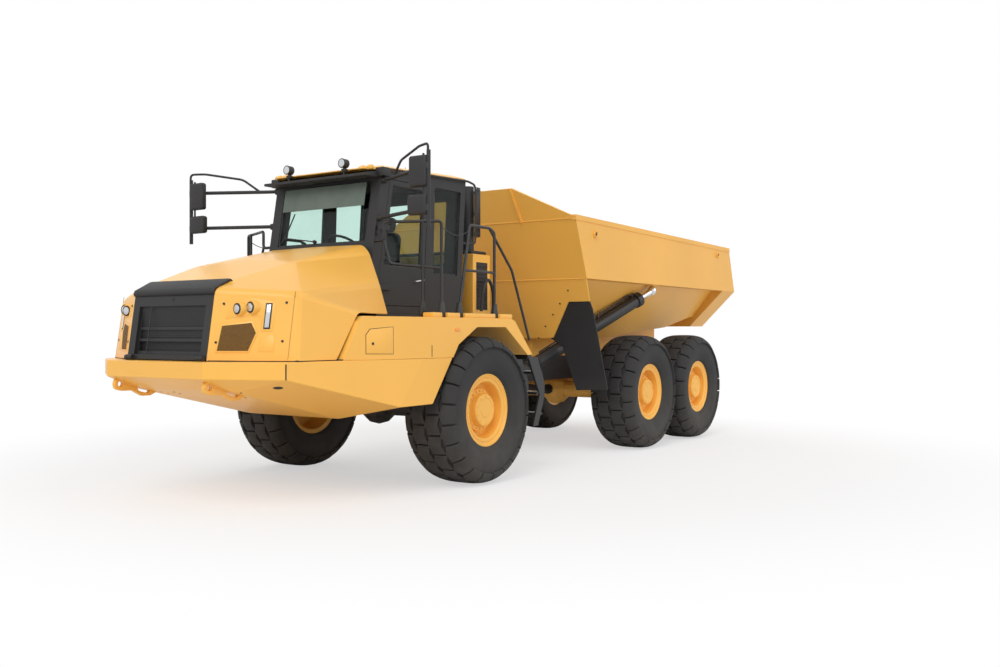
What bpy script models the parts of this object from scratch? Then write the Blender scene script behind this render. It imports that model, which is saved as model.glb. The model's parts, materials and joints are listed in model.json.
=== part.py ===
"""Articulated dump truck with a six-wheel drive frame, a hinged hitch and a tipping bed.

Metres, +Z up. The truck faces -Y and +X is its left side. Lengths along Y are
given from the front axle, rearward positive, and heights from the ground. The
origin is on the ground below the middle of the truck.
"""

from collections import namedtuple
from math import cos, pi, radians, sin

import bmesh
import bpy
from mathutils import Matrix, Vector

# Clearances
GAP = 0.0003
RUNNING_GAP = 0.005
PIN_CLEARANCE = 0.0012
OVERRUN = 0.05
WELD = 0.01
MERGE = 0.00001
ROUND_SIDES = 16

# Wheels and axles
TYRE_RADIUS = 0.885
TYRE_WIDTH = 0.68
LUG_HEIGHT = 0.04
LUG_GAP = 0.06
LUG_COUNT = 12
RIM_RADIUS = 0.44
RIM_BARREL = 0.54
RIM_WALL = 0.04
RIM_FACE = 0.31
RIM_WELL_DEPTH = 0.17
HUB_RADIUS = 0.2
WHEEL_TRACK = 2.87
FRONT_TO_MIDDLE_AXLE = 4.48
MIDDLE_TO_REAR_AXLE = 1.91
AXLE_LENGTH = 2.16
AXLE_RADIUS = 0.13
DIFFERENTIAL_RADIUS = 0.25
AXLE_PAD = 0.18
AXLE_PAD_HEIGHT = 0.16

# Tractor frame
RAIL_SPACING = 0.84
RAIL_WIDTH = 0.12
RAIL_BOTTOM = 1.08
RAIL_TOP = 1.38
RAIL_FRONT = -2.85
RAIL_REAR = 0.9
CROSS_MEMBER = 0.12
PLATFORM_TOP = 2.04
PLATFORM_THICKNESS = 0.06
PLATFORM_FRONT = -1.05
PLATFORM_REAR = 1.42
PLATFORM_LEG = 0.1
PLATFORM_REAR_LEG = 0.82
STRUT_X = 0.62
STRUT_RADIUS = 0.07
STRUT_TOP = 1.7
STRUT_BRACKET = 0.08

# Hitch between tractor and trailer
HITCH_Y = 1.4
HITCH_Z = 1.09
EAR_THICKNESS = 0.08
EAR_HALF_WIDTH = 0.2
EAR_SPREAD = 0.58
HITCH_BARREL_RADIUS = 0.17
HITCH_PIN_RADIUS = 0.06
HITCH_TUBE_RADIUS = 0.19
HITCH_FLANGE_RADIUS = 0.27
HITCH_FLANGE_LENGTH = 0.08
HITCH_NUT_LENGTH = 0.06
STEER_ARM_X = 0.4
STEER_ARM_REACH = 0.2
STEER_ARM_SIZE = 0.12
STEER_ARM_THICKNESS = 0.06

# Steering cylinders
STEER_BASE_X = 0.6
STEER_BASE_Y = 0.22
STEER_Z = 0.98
STEER_BARREL_RADIUS = 0.055
STEER_ROD_RADIUS = 0.028
STEER_EYE_RADIUS = 0.055
STEER_BASE_WIDTH = 0.12
STEER_EYE_WIDTH = 0.06
STEER_ROD_SHOWN = 0.4944
STEER_ROD_BACK = 0.3674

# Trailer frame
HEAD_FRONT = 1.95
HEAD_LENGTH = 0.25
HEAD_BOTTOM = 0.82
TRAILER_TOP = 1.45
TRAILER_RAIL_REAR = 6.74
TIP_Y = 6.85
TIP_Z = 1.55
TIP_PIN_RADIUS = 0.06
TIP_EAR_THICKNESS = 0.06
TIP_EAR_SIZE = 0.13
WALKING_BEAM_X = 0.67
WALKING_BEAM_WIDTH = 0.14
WALKING_BEAM_HEIGHT = 0.16
WALKING_PIVOT_RADIUS = 0.08
SHAFT_RADIUS = 0.05

# Bed
BODY_HALF_WIDTH = 1.673
BED_WALL = 0.03
BED_FRONT = 2.18
BED_FRONT_TOP = 3.415
BED_FRONT_SLOPE_SHARE = 0.39
BED_GUARD_TOP = 3.86
BED_GUARD_WIDTH_SHARE = 0.43
BED_REAR_TOP = 3.342
BED_REAR_TOP_Y = 7.93
BED_REAR = 8.2
BED_SIDE_BOTTOM = 2.58
BED_LEDGE = 0.22
BED_HOPPER_SHARE = 0.79
FLOOR_LOW = 1.73
FLOOR_FLAT_Y = 3.0
FLOOR_RISE_Y = 4.6
FLOOR_KINK_Y = 6.75
FLOOR_KINK = 1.91
FLOOR_HIGH_Y = 7.5
FLOOR_HIGH = 2.1
TAIL_RING_FRONT = 7.62
TAIL_RING_BOTTOM = 1.93
TAIL_RING_DEPTH = 0.09
BED_BEAM_FRONT = 2.95
BED_BEAM_REAR = 7.25
BED_LIP = 0.07
FLAP_THICKNESS = 0.02
FLAP_OFFSET = 0.0885
FLAP_EDGE = 0.013
FLAP_BOTTOM = 0.95
FLAP_HEIGHT = 1.36
FLAP_OUTLINE_SHARES = (
    (0.506, 1),
    (0.96, 1),
    (1, 0.875),
    (1, 0.022),
    (0.33, 0),
    (0.215, 0.478),
    (0, 0.574),
)
FLANGE_THICKNESS = 0.02
FLANGE_OVERLAP = 0.002
FLANGE_WIDTH = 0.14
FLANGE_KINK_SHARE = 0.7
FLANGE_KINK_Z = 2.26
RIB_PROUD = 0.03
RIB_WIDTH = 0.03
RIB_SLANT = 0.08
RIB_HEIGHT = 0.48
BOSS_RADIUS = 0.055
BOSS_PROUD = 0.02
BOSS_Z = 3.22
BOSS_FRONT_Y = 2.744
BOSS_REAR_Y = 7.344

# Hoist cylinders
HOIST_BASE_X = 0.7
HOIST_BASE_Y = 2.41
HOIST_BASE_Z = 1.27
HOIST_EYE_INSET = 0.153
HOIST_EYE_Y = 4.94
HOIST_EYE_Z = 2.49
HOIST_BARREL_RADIUS = 0.1
HOIST_ROD_RADIUS = 0.05
HOIST_EYE_RADIUS = 0.075
HOIST_BALL_RADIUS = 0.1
HOIST_ROD_SHOWN = 0.326
HOIST_ROD_BACK = 0.026

# Bumper and belly
BUMPER_FRONT = -3.467
BUMPER_HALF_WIDTH = 0.752
BUMPER_CORNER = -3.254
BUMPER_CORNER_DROP = 0.03
BUMPER_TOP = 1.53
BUMPER_BOTTOM = 1.37
BUMPER_WALL = 0.025
BUMPER_LEDGE = 0.2
BUMPER_REAR_TOP = -0.66
BUMPER_REAR_LOW = -1.03
BUMPER_SIDE_LOW = 0.99
BELLY = 0.95
BELLY_FRONT = -2.7
BELLY_FRONT_HALF_WIDTH = 0.72
BELLY_REAR_HALF_WIDTH = 1.0
TOW_LUG_X = 0.706
TOW_LUG_Y = -3.337
TOW_LUG_Z = 1.264
TOW_LUG_RADIUS = 0.1
TOW_LUG_HOLE = 0.045
TOW_LUG_THICKNESS = 0.05

# Fenders
FENDER_FRONT = -2.464
FENDER_REAR = 1.063
FENDER_CROWN = 0.096
FENDER_WALL = 0.025
FENDER_OUTLINE_SHARES = ((0, 0), (0.066, 0.87), (0.092, 1), (0.86, 1), (0.885, 0.93), (1, 0))
ARCH_ANGLES = (56, 24, -9.5, -34, -44)
ARCH_CREST_SHARE = 1.14
ARCH_RADIUS_SHARES = (1.3, 1.235, ARCH_CREST_SHARE, 1.081, 1.04)

# Hood and grille
HOOD_WALL = 0.02
HOOD_DECK_GAP = 0.04
HOOD_LEAN = 0.11
HOOD_BOTTOM = 1.54
HOOD_FRONT = -3.31
HOOD_FRONT_TOP = 2.34
GRILLE_HALF_WIDTH = 0.63
GRILLE_TOP = 2.26
GRILLE_DEPTH = 0.08
GRILLE_FRAME = 0.1
GRILLE_HEAD = 0.15
GRILLE_BAR = 0.03
GRILLE_BAR_SHARES = (0.04, 0.3, 0.54, 0.9)
HOOD_CORNER = -3.08
HOOD_INSET = 0.053
HOOD_SHOULDER_INSET = 0.12
HOOD_SHOULDER_Z = 2.18
HOOD_MIDDLE = -2.3
HOOD_MIDDLE_TOP = 2.63
HOOD_RIDGE_X = 0.78
HOOD_RIDGE_DROP = 0.06
HOOD_REAR = -1.17
HOOD_REAR_TOP = 2.84
HOOD_REAR_HALF_WIDTH = 0.85
HOOD_REAR_BEVEL = 0.09
HOOD_REAR_SHOULDER = 2.5
HOOD_HINGE_Y = -3.33
HOOD_HINGE_Z = 1.56
HOOD_HINGE_WIDTH = 0.12
LAMP_RADIUS = 0.055
LAMP_PROUD = 0.02
LAMP_SHARES = ((0.319, 0.708), (0.468, 0.726))
STRIP_LAMP_SHARES = ((0.62, 0.45), (0.67, 0.45), (0.67, 0.76), (0.62, 0.76))
SCREEN_DEPTH = 0.008
SCREEN_SHARES = ((0.11, 0.133), (0.465, 0.136), (0.533, 0.379), (0.469, 0.514), (0.138, 0.474))
POCKET_SHARES = ((0.574, 0.126), (0.755, 0.126), (0.74, 0.34), (0.7, 0.36), (0.59, 0.3))

# Engine
ENGINE_HALF_WIDTH = 0.48
ENGINE_FRONT = -2.9
ENGINE_REAR = -1.3
ENGINE_TOP = 2.2

# Cab
CAB_HALF_WIDTH = 0.86
CAB_WALL = 0.06
CAB_FRONT_FOOT = -1.12
CAB_FRONT = -1.15
CAB_WAIST = 2.52
CAB_FRONT_TOP = -0.94
CAB_TOP_FRONT = 3.72
CAB_TOP_REAR = 3.78
CAB_REAR_TOP = 0.72
CAB_REAR = 0.6
PANE = 0.012
SCREEN_HALF_WIDTH = 0.72
SCREEN_BOTTOM = 2.88
SCREEN_TOP = 3.6
REAR_WINDOW_HALF_WIDTH = 0.6
REAR_WINDOW_BOTTOM = 2.7
REAR_WINDOW_TOP = 3.55
DOOR_FRONT = -1.0
DOOR_BOTTOM = 2.13
DOOR_TOP = 3.63
DOOR_LENGTH = 0.93
DOOR_OUTLINE_SHARES = ((0.02, 0), (0, 0.25), (0.215, 1), (1, 1), (0.925, 0.25), (0.925, 0))
DOOR_FRAME = 0.07
DOOR_SILL = 0.4
DOOR_HINGE_Y = -1.03
DOOR_HINGE_OFFSET = 0.026
DOOR_KNUCKLE_RADIUS = 0.018
DOOR_KNUCKLE = 0.06
DOOR_KNUCKLE_HEIGHTS = (2.25, 2.95)
DOOR_STRAP = 0.175
DOOR_STRAP_PAD = 0.056
QUARTER_FRONT = 0.03
QUARTER_LENGTH = 0.58
QUARTER_BOTTOM = 2.55
QUARTER_TOP = 3.63
QUARTER_OUTLINE_SHARES = ((0, 0), (0.06, 1), (1, 1), (0.86, 0))
ROOF_HEIGHT = 0.08
ROOF_INSET = 0.12
ROOF_NOSE = 0.18
ROOF_NOSE_HALF_WIDTH = 0.71
ROOF_NOSE_HEIGHT = 0.015
VISOR_FRONT = -1.2
VISOR_HALF_WIDTH = 0.84
VISOR_THICKNESS = 0.03
WORK_LAMP_X = 0.453
WORK_LAMP_Y = -1.15
WORK_LAMP_Z = 3.8
WORK_LAMP_RADIUS = 0.055
WORK_LAMP_DEPTH = 0.08

# Seat and controls
SEAT_Y = -0.15
SEAT_HALF_WIDTH = 0.26
SEAT_DEPTH = 0.5
SEAT_CUSHION_TOP = 2.62
SEAT_CUSHION = 0.12
SEAT_BACK_TOP = 3.3
SEAT_POST = 0.12
DASH_HALF_WIDTH = 0.6
DASH_DEPTH = 0.3
DASH_TOP = 2.75
COLUMN_RADIUS = 0.035
STEERING_WHEEL_RADIUS = 0.2
STEERING_WHEEL_RIM = 0.016
STEERING_WHEEL_Y = -0.66
STEERING_WHEEL_Z = 2.9

# Mirrors
MIRROR_X = 1.93
MIRROR_Y = -1.43
MIRROR_BAR_TOP = 3.76
MIRROR_BAR_BOTTOM = 2.95
MIRROR_TUBE = 0.022
MIRROR_UPPER_ARM_Z = 3.6
MIRROR_LOWER_ARM_Z = 3.15
MIRROR_HEAD_WIDTH = 0.27
MIRROR_HEAD_DEPTH = 0.1
MIRROR_LARGE_BOTTOM = 3.38
MIRROR_LARGE_TOP = 3.72
MIRROR_SMALL_BOTTOM = 3.08
MIRROR_SMALL_TOP = 3.3

# Handrails and ladder
RAIL_INSET = 0.073
RAIL_TUBE = 0.018
RAIL_TOP_Z = 3.09
RAIL_MIDDLE_Z = 2.55
RAIL_BRACKET_Z = 2.88
RAIL_BRACKET_X = 0.996
RAIL_FRONT_Y = -1.065
RAIL_KNEE_X = 1.077
RAIL_KNEE_Y = -1.06
RAIL_KNEE_Z = 2.61
RAIL_POST_X = 1.42
RAIL_POST_Y = -0.888
RAIL_CORNER_Y = -0.77
RAIL_GATE_LOW_Y = -0.43
RAIL_GATE_TOP_Y = -0.22
RAIL_REAR_BEND_Y = 0.2
RAIL_REAR_Y = 0.3
RAIL_REAR_BEND_Z = 3.04
RAIL_LONG_KNEE_Y = 0.69
RAIL_LONG_KNEE_Z = 2.6
RAIL_LONG_END_Y = 1.1
RAIL_LONG_END_Z = 1.72
LADDER_INSET = 0.033
LADDER_WIDTH = 0.28
LADDER_PLATE = 0.03
LADDER_STEPS = 3
LADDER_TOP = 1.5
LADDER_BOTTOM = 0.6
LADDER_TOP_Y = 1.02
LADDER_REACH = 0.4
LADDER_STEP_SHARE = 0.18
LADDER_STEP_PLACE_SHARE = 0.72
LADDER_OUTLINE_SHARES = ((0, 1), (0.55, 1), (1, 0.62), (1, 0.42), (0.6, 0), (0.3, 0), (0.7, 0.45))

# Exhaust box and guard behind the cab
EXHAUST_FRONT = 1.0
EXHAUST_DEPTH = 0.4
EXHAUST_HALF_WIDTH = 0.78
EXHAUST_TOP = 2.87
STACK_X = 0.55
STACK_RADIUS = 0.08
STACK_TOP = 3.8
GUARD_BOTTOM = 3.12
GUARD_TOP = 3.78
GUARD_RADIUS = 0.17
GUARD_WALL = 0.015
GUARD_FOOT = 0.05

# Middle of the whole truck, behind the front axle
MIDDLE = (BUMPER_FRONT + BED_REAR) / 2
BED_HALF_WIDTH = BODY_HALF_WIDTH
BED_GUARD_HALF_WIDTH = BED_HALF_WIDTH * BED_GUARD_WIDTH_SHARE
FENDER_INNER = CAB_HALF_WIDTH + GAP
FENDER_DECK = TYRE_RADIUS * (1 + ARCH_CREST_SHARE) + FENDER_CROWN
HOOD_SIDE = BODY_HALF_WIDTH - HOOD_INSET
HOOD_SHOULDER_X = HOOD_SIDE - HOOD_SHOULDER_INSET
RAIL_X = BODY_HALF_WIDTH - RAIL_INSET
LADDER_OUTER = BODY_HALF_WIDTH - LADDER_INSET
LADDER_INNER = LADDER_OUTER - LADDER_WIDTH
HOIST_BASE = Vector((HOIST_BASE_X, HOIST_BASE_Y, HOIST_BASE_Z))
HOIST_EYE = Vector((BED_HALF_WIDTH - HOIST_EYE_INSET, HOIST_EYE_Y, HOIST_EYE_Z))
WHEEL_X = WHEEL_TRACK / 2
MIDDLE_AXLE = FRONT_TO_MIDDLE_AXLE
REAR_AXLE = FRONT_TO_MIDDLE_AXLE + MIDDLE_TO_REAR_AXLE
RAIL_CENTRE = RAIL_SPACING / 2
RAIL_INNER_X = RAIL_CENTRE - RAIL_WIDTH / 2
RAIL_OUTER_X = RAIL_CENTRE + RAIL_WIDTH / 2
FENDER_FOOT = BUMPER_TOP + GAP
CAB_FLOOR = PLATFORM_TOP + GAP
BEAM_Z = TYRE_RADIUS + AXLE_PAD_HEIGHT + GAP + WALKING_BEAM_HEIGHT / 2
BED_BEAM_BOTTOM = TRAILER_TOP + GAP

Paint = namedtuple("Paint", "colour roughness metallic")
YELLOW = Paint((0.93, 0.52, 0.1), 0.45, 0.0)
BLACK = Paint((0.03, 0.03, 0.03), 0.6, 0.0)
RUBBER = Paint((0.035, 0.035, 0.037), 0.85, 0.0)
STEEL = Paint((0.7, 0.7, 0.7), 0.25, 1.0)
GLASS = Paint((0.5, 0.62, 0.6), 0.05, 0.0)
CLOTH = Paint((0.06, 0.06, 0.065), 0.9, 0.0)

Side = namedtuple("Side", "name sign")
SIDES = (Side("left", 1), Side("right", -1))

bodies = {}


def clear_scene():
    """An empty scene to build in."""
    for thing in list(bpy.data.objects):
        bpy.data.objects.remove(thing, do_unlink=True)


def add_body(name, parent, point):
    """An empty on the axis that a rigid group turns or slides on."""
    empty = bpy.data.objects.new(name + "_axis", None)
    bpy.context.scene.collection.objects.link(empty)
    place = Vector(point)
    bodies[name] = (empty, place)
    if parent:
        holder, holder_place = bodies[parent]
        empty.parent = holder
        empty.location = place - holder_place
    else:
        empty.location = place - Vector((0, MIDDLE, 0))


def add_node(name, solid, body, paint):
    """One named object with its own material, carried by its body's empty."""
    holder, holder_place = bodies[body]
    bmesh.ops.translate(solid, vec=-holder_place, verts=solid.verts)
    bmesh.ops.recalc_face_normals(solid, faces=solid.faces)
    mesh = bpy.data.meshes.new(name)
    solid.to_mesh(mesh)
    solid.free()
    mesh.shade_smooth()
    mesh.set_sharp_from_angle(angle=radians(30))
    material = bpy.data.materials.new(name + "_paint")
    material.use_nodes = True
    surface = material.node_tree.nodes["Principled BSDF"]
    surface.inputs["Base Color"].default_value = (*paint.colour, 1)
    surface.inputs["Roughness"].default_value = paint.roughness
    surface.inputs["Metallic"].default_value = paint.metallic
    mesh.materials.append(material)
    thing = bpy.data.objects.new(name, mesh)
    bpy.context.scene.collection.objects.link(thing)
    thing.parent = holder


def along(axis, across, position):
    """A point from two coordinates across an axis and one along it."""
    first, second = across
    if axis == "X":
        return Vector((position, first, second))
    if axis == "Y":
        return Vector((first, position, second))
    return Vector((first, second, position))


def prism(outline, axis, start, end):
    """An outline across an axis, extruded between two positions on it."""
    solid = bmesh.new()
    corners = [solid.verts.new(along(axis, point, start)) for point in outline]
    face = solid.faces.new(corners)
    extruded = bmesh.ops.extrude_face_region(solid, geom=[face])
    moved = [item for item in extruded["geom"] if isinstance(item, bmesh.types.BMVert)]
    shift = along(axis, (0, 0), end) - along(axis, (0, 0), start)
    bmesh.ops.translate(solid, vec=shift, verts=moved)
    bmesh.ops.recalc_face_normals(solid, faces=solid.faces)
    return solid


def box(low, high):
    """A block between two corners."""
    outline = ((low[0], low[1]), (high[0], low[1]), (high[0], high[1]), (low[0], high[1]))
    return prism(outline, "Z", low[2], high[2])


def rod(start, end, radius, sides=12, end_radius=None):
    """A round bar or cone between two points."""
    start = Vector(start)
    line = Vector(end) - start
    turn = line.to_track_quat("Z", "Y").to_matrix().to_4x4()
    solid = bmesh.new()
    bmesh.ops.create_cone(
        solid,
        cap_ends=True,
        segments=sides,
        radius1=radius,
        radius2=radius if end_radius is None else end_radius,
        depth=line.length,
        matrix=Matrix.Translation(start + line / 2) @ turn,
    )
    return solid


def bore(start, end, radius):
    """A hole around a round pin or tube that stays clear of it at every turn."""
    return rod(start, end, (radius + PIN_CLEARANCE) / cos(pi / ROUND_SIDES), ROUND_SIDES)


def ball(centre, radius, sides=12):
    """A round casing."""
    solid = bmesh.new()
    bmesh.ops.create_uvsphere(
        solid,
        u_segments=sides,
        v_segments=sides // 2,
        radius=radius,
        matrix=Matrix.Translation(centre),
    )
    return solid


def layered(first, second):
    """A solid between two outlines with matching corners."""
    solid = bmesh.new()
    near = [solid.verts.new(point) for point in first]
    far = [solid.verts.new(point) for point in second]
    solid.faces.new(near)
    solid.faces.new(list(reversed(far)))
    for i in range(len(near)):
        solid.faces.new((near[i - 1], near[i], far[i], far[i - 1]))
    bmesh.ops.recalc_face_normals(solid, faces=solid.faces)
    return solid


def hull(points):
    """The convex solid around a few points."""
    solid = bmesh.new()
    corners = [solid.verts.new(point) for point in points]
    result = bmesh.ops.convex_hull(solid, input=corners)
    spare = [item for item in result["geom_interior"] if isinstance(item, bmesh.types.BMVert)]
    bmesh.ops.delete(solid, geom=spare, context="VERTS")
    bmesh.ops.recalc_face_normals(solid, faces=solid.faces)
    return solid


def turned(profile, sides, centre=(0, 0, 0), sign=1):
    """A solid of revolution about an axis along X, from (radius, x) points."""
    solid = bmesh.new()
    corners = [solid.verts.new((sign * x, 0, -radius)) for radius, x in profile]
    edges = [solid.edges.new((corners[i - 1], corners[i])) for i in range(len(corners))]
    bmesh.ops.spin(
        solid,
        geom=corners + edges,
        cent=(0, 0, 0),
        axis=(1, 0, 0),
        angle=2 * pi,
        steps=sides,
    )
    bmesh.ops.remove_doubles(solid, verts=solid.verts, dist=MERGE)
    bmesh.ops.dissolve_degenerate(solid, edges=solid.edges, dist=MERGE)
    bmesh.ops.translate(solid, vec=centre, verts=solid.verts)
    bmesh.ops.recalc_face_normals(solid, faces=solid.faces)
    return solid


def temporary(solid):
    """A solid as an object, for a modifier to work on."""
    mesh = bpy.data.meshes.new("temporary")
    solid.to_mesh(mesh)
    solid.free()
    thing = bpy.data.objects.new("temporary", mesh)
    bpy.context.scene.collection.objects.link(thing)
    return thing


def discard(thing):
    """Removes a temporary object and its mesh."""
    mesh = thing.data
    bpy.data.objects.remove(thing)
    bpy.data.meshes.remove(mesh)


def evaluated(thing):
    """The solid that a temporary object's modifiers make."""
    result = bmesh.new()
    result.from_object(thing, bpy.context.evaluated_depsgraph_get())
    discard(thing)
    return result


def gathered(solids):
    """Several solids in one mesh, not yet joined."""
    whole = bmesh.new()
    for solid in solids:
        mesh = bpy.data.meshes.new("temporary")
        solid.to_mesh(mesh)
        solid.free()
        whole.from_mesh(mesh)
        bpy.data.meshes.remove(mesh)
    return whole


def boolean(solid, tools, operation):
    """A solid joined with others, or cut by them."""
    thing = temporary(solid)
    tool = temporary(gathered(tools))
    change = thing.modifiers.new(operation, "BOOLEAN")
    change.operation = operation
    change.solver = "EXACT"
    change.use_self = True
    change.object = tool
    result = evaluated(thing)
    discard(tool)
    return result


def fused(solids, cuts=()):
    """Overlapping solids as one body, less the cuts."""
    whole = solids[0]
    if len(solids) > 1:
        whole = boolean(whole, solids[1:], "UNION")
    if cuts:
        whole = boolean(whole, cuts, "DIFFERENCE")
    return whole


def plates(points, faces, thickness):
    """Both halves of a plate shell from named points on one side, thickened inwards."""
    shell = bmesh.new()
    for side in SIDES:
        corners = {}
        for name, (x, y, z) in points.items():
            corners[name] = shell.verts.new((side.sign * x, y, z))
        for face in faces:
            shell.faces.new([corners[name] for name in face])
    bmesh.ops.remove_doubles(shell, verts=shell.verts, dist=MERGE)
    return thickened(shell, thickness)


def thickened(shell, thickness):
    """An open surface with its wall added on the inside."""
    bmesh.ops.recalc_face_normals(shell, faces=shell.faces)
    thing = temporary(shell)
    wall = thing.modifiers.new("wall", "SOLIDIFY")
    wall.thickness = thickness
    wall.offset = -1
    wall.use_even_offset = True
    return evaluated(thing)


def spread(shares, start, size):
    """Outline points from shares of a width and a height."""
    return [(start[0] + across * size[0], start[1] + up * size[1]) for across, up in shares]


def inset(outline, distance):
    """An outline moved inwards by one distance on every edge."""
    count = len(outline)
    area = sum(
        outline[i - 1][0] * outline[i][1] - outline[i][0] * outline[i - 1][1] for i in range(count)
    )
    turn = 1 if area > 0 else -1
    lines = []
    for i in range(count):
        start = Vector(outline[i])
        run = (Vector(outline[(i + 1) % count]) - start).normalized()
        inward = Vector((-run.y, run.x)) * turn
        lines.append((start + inward * distance, run))
    result = []
    for i in range(count):
        first, first_run = lines[i - 1]
        second, second_run = lines[i]
        step = (second - first).cross(second_run) / first_run.cross(second_run)
        result.append(tuple(first + first_run * step))
    return result


def between(start, end, height):
    """Where a sloping line in the YZ plane reaches a height."""
    return start[0] + (end[0] - start[0]) * (height - start[1]) / (end[1] - start[1])


def mirrored(point, side):
    """A left-hand point on the given side."""
    return Vector((side.sign * point[0], point[1], point[2]))


def side_span(low, high, side):
    """The X range of a left-hand piece on the given side."""
    return sorted((side.sign * low, side.sign * high))


def tyre(centre):
    """A tyre with staggered tread lugs out to its full radius."""
    half = TYRE_WIDTH / 2
    base = TYRE_RADIUS - LUG_HEIGHT
    wall = base - RIM_RADIUS
    side = (
        (RIM_RADIUS, RIM_BARREL / 2),
        (RIM_RADIUS + wall * 0.35, half * 0.985),
        (RIM_RADIUS + wall * 0.7, half),
        (base - wall * 0.07, half * 0.93),
        (base, half * 0.84),
        (base, LUG_GAP / 2),
    )
    profile = list(side) + [(radius, -x) for radius, x in reversed(side)]
    solid = turned(profile, 2 * LUG_COUNT)
    lugs = []
    for face in solid.faces:
        middle = face.calc_center_median()
        flat = all(abs(Vector((0, v.co.y, v.co.z)).length - base) < MERGE for v in face.verts)
        if not flat or abs(middle.x) < LUG_GAP / 2:
            continue
        turn = Vector((middle.y, middle.z)).angle_signed(Vector((0, -1)))
        step = int((turn % (2 * pi)) / (pi / LUG_COUNT))
        if (step + (middle.x > 0)) % 2:
            lugs.append(face)
    raised = bmesh.ops.extrude_discrete_faces(solid, faces=lugs)["faces"]
    tips = {vert for face in raised for vert in face.verts}
    scale = TYRE_RADIUS / base
    bmesh.ops.scale(solid, vec=(1, scale, scale), verts=list(tips))
    bmesh.ops.translate(solid, vec=centre, verts=solid.verts)
    return solid


def rim(centre, sign):
    """A rim with its barrel, stepped rings and hub."""
    half = RIM_BARREL / 2
    outer = RIM_RADIUS - GAP
    hub_back = AXLE_LENGTH / 2 + GAP - WHEEL_X
    well = RIM_FACE - RIM_WELL_DEPTH
    profile = (
        (0, hub_back),
        (HUB_RADIUS * 0.75, hub_back),
        (HUB_RADIUS * 0.75, 0),
        (outer - RIM_WALL, 0),
        (outer - RIM_WALL, -half),
        (outer, -half),
        (outer, RIM_FACE),
        (outer - RIM_WALL, RIM_FACE * 0.9),
        (outer - RIM_WALL * 2.5, RIM_FACE * 0.72),
        (HUB_RADIUS + RIM_WALL * 1.5, well),
        (HUB_RADIUS, RIM_FACE * 0.8),
        (0, RIM_FACE * 0.87),
    )
    return turned(profile, 2 * LUG_COUNT, centre, sign)


def build_wheels():
    """Six wheels, each a tyre on its rim."""
    for axle, y in (("front", 0), ("middle", MIDDLE_AXLE), ("rear", REAR_AXLE)):
        for side in SIDES:
            name = f"{axle}_{side.name}"
            centre = Vector((side.sign * WHEEL_X, y, TYRE_RADIUS))
            body = f"wheel_{name}"
            add_body(body, "tractor" if axle == "front" else "trailer", centre)
            add_node(f"tyre_{name}", tyre(centre), body, RUBBER)
            add_node(f"rim_{name}", rim(centre, side.sign), body, YELLOW)


def axle_housing(y):
    """The tube between two hubs with its differential casing."""
    end = AXLE_LENGTH / 2
    return [
        rod((-end, y, TYRE_RADIUS), (end, y, TYRE_RADIUS), AXLE_RADIUS),
        ball((0, y, TYRE_RADIUS), DIFFERENTIAL_RADIUS),
    ]


def build_front_axle():
    """The front axle with its two suspension struts."""
    solids = axle_housing(0)
    for side in SIDES:
        foot = Vector((side.sign * STRUT_X, 0, TYRE_RADIUS))
        top = Vector((side.sign * STRUT_X, 0, STRUT_TOP - GAP))
        middle = (foot + top) / 2
        solids.append(rod(foot, middle, STRUT_RADIUS))
        solids.append(rod(middle - Vector((0, 0, WELD)), top, STRUT_RADIUS * 0.7))
    add_node("front_axle", fused(solids), "tractor", BLACK)


def build_rear_axles():
    """The middle and rear axles with the pads that carry the walking beams."""
    for name, y in (("middle_axle", MIDDLE_AXLE), ("rear_axle", REAR_AXLE)):
        solids = axle_housing(y)
        for side in SIDES:
            low, high = side_span(WALKING_BEAM_X - AXLE_PAD / 2, WALKING_BEAM_X + AXLE_PAD / 2, side)
            solids.append(
                box(
                    (low, y - AXLE_PAD / 2, TYRE_RADIUS),
                    (high, y + AXLE_PAD / 2, TYRE_RADIUS + AXLE_PAD_HEIGHT),
                )
            )
        add_node(name, fused(solids), "trailer", YELLOW)


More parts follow.
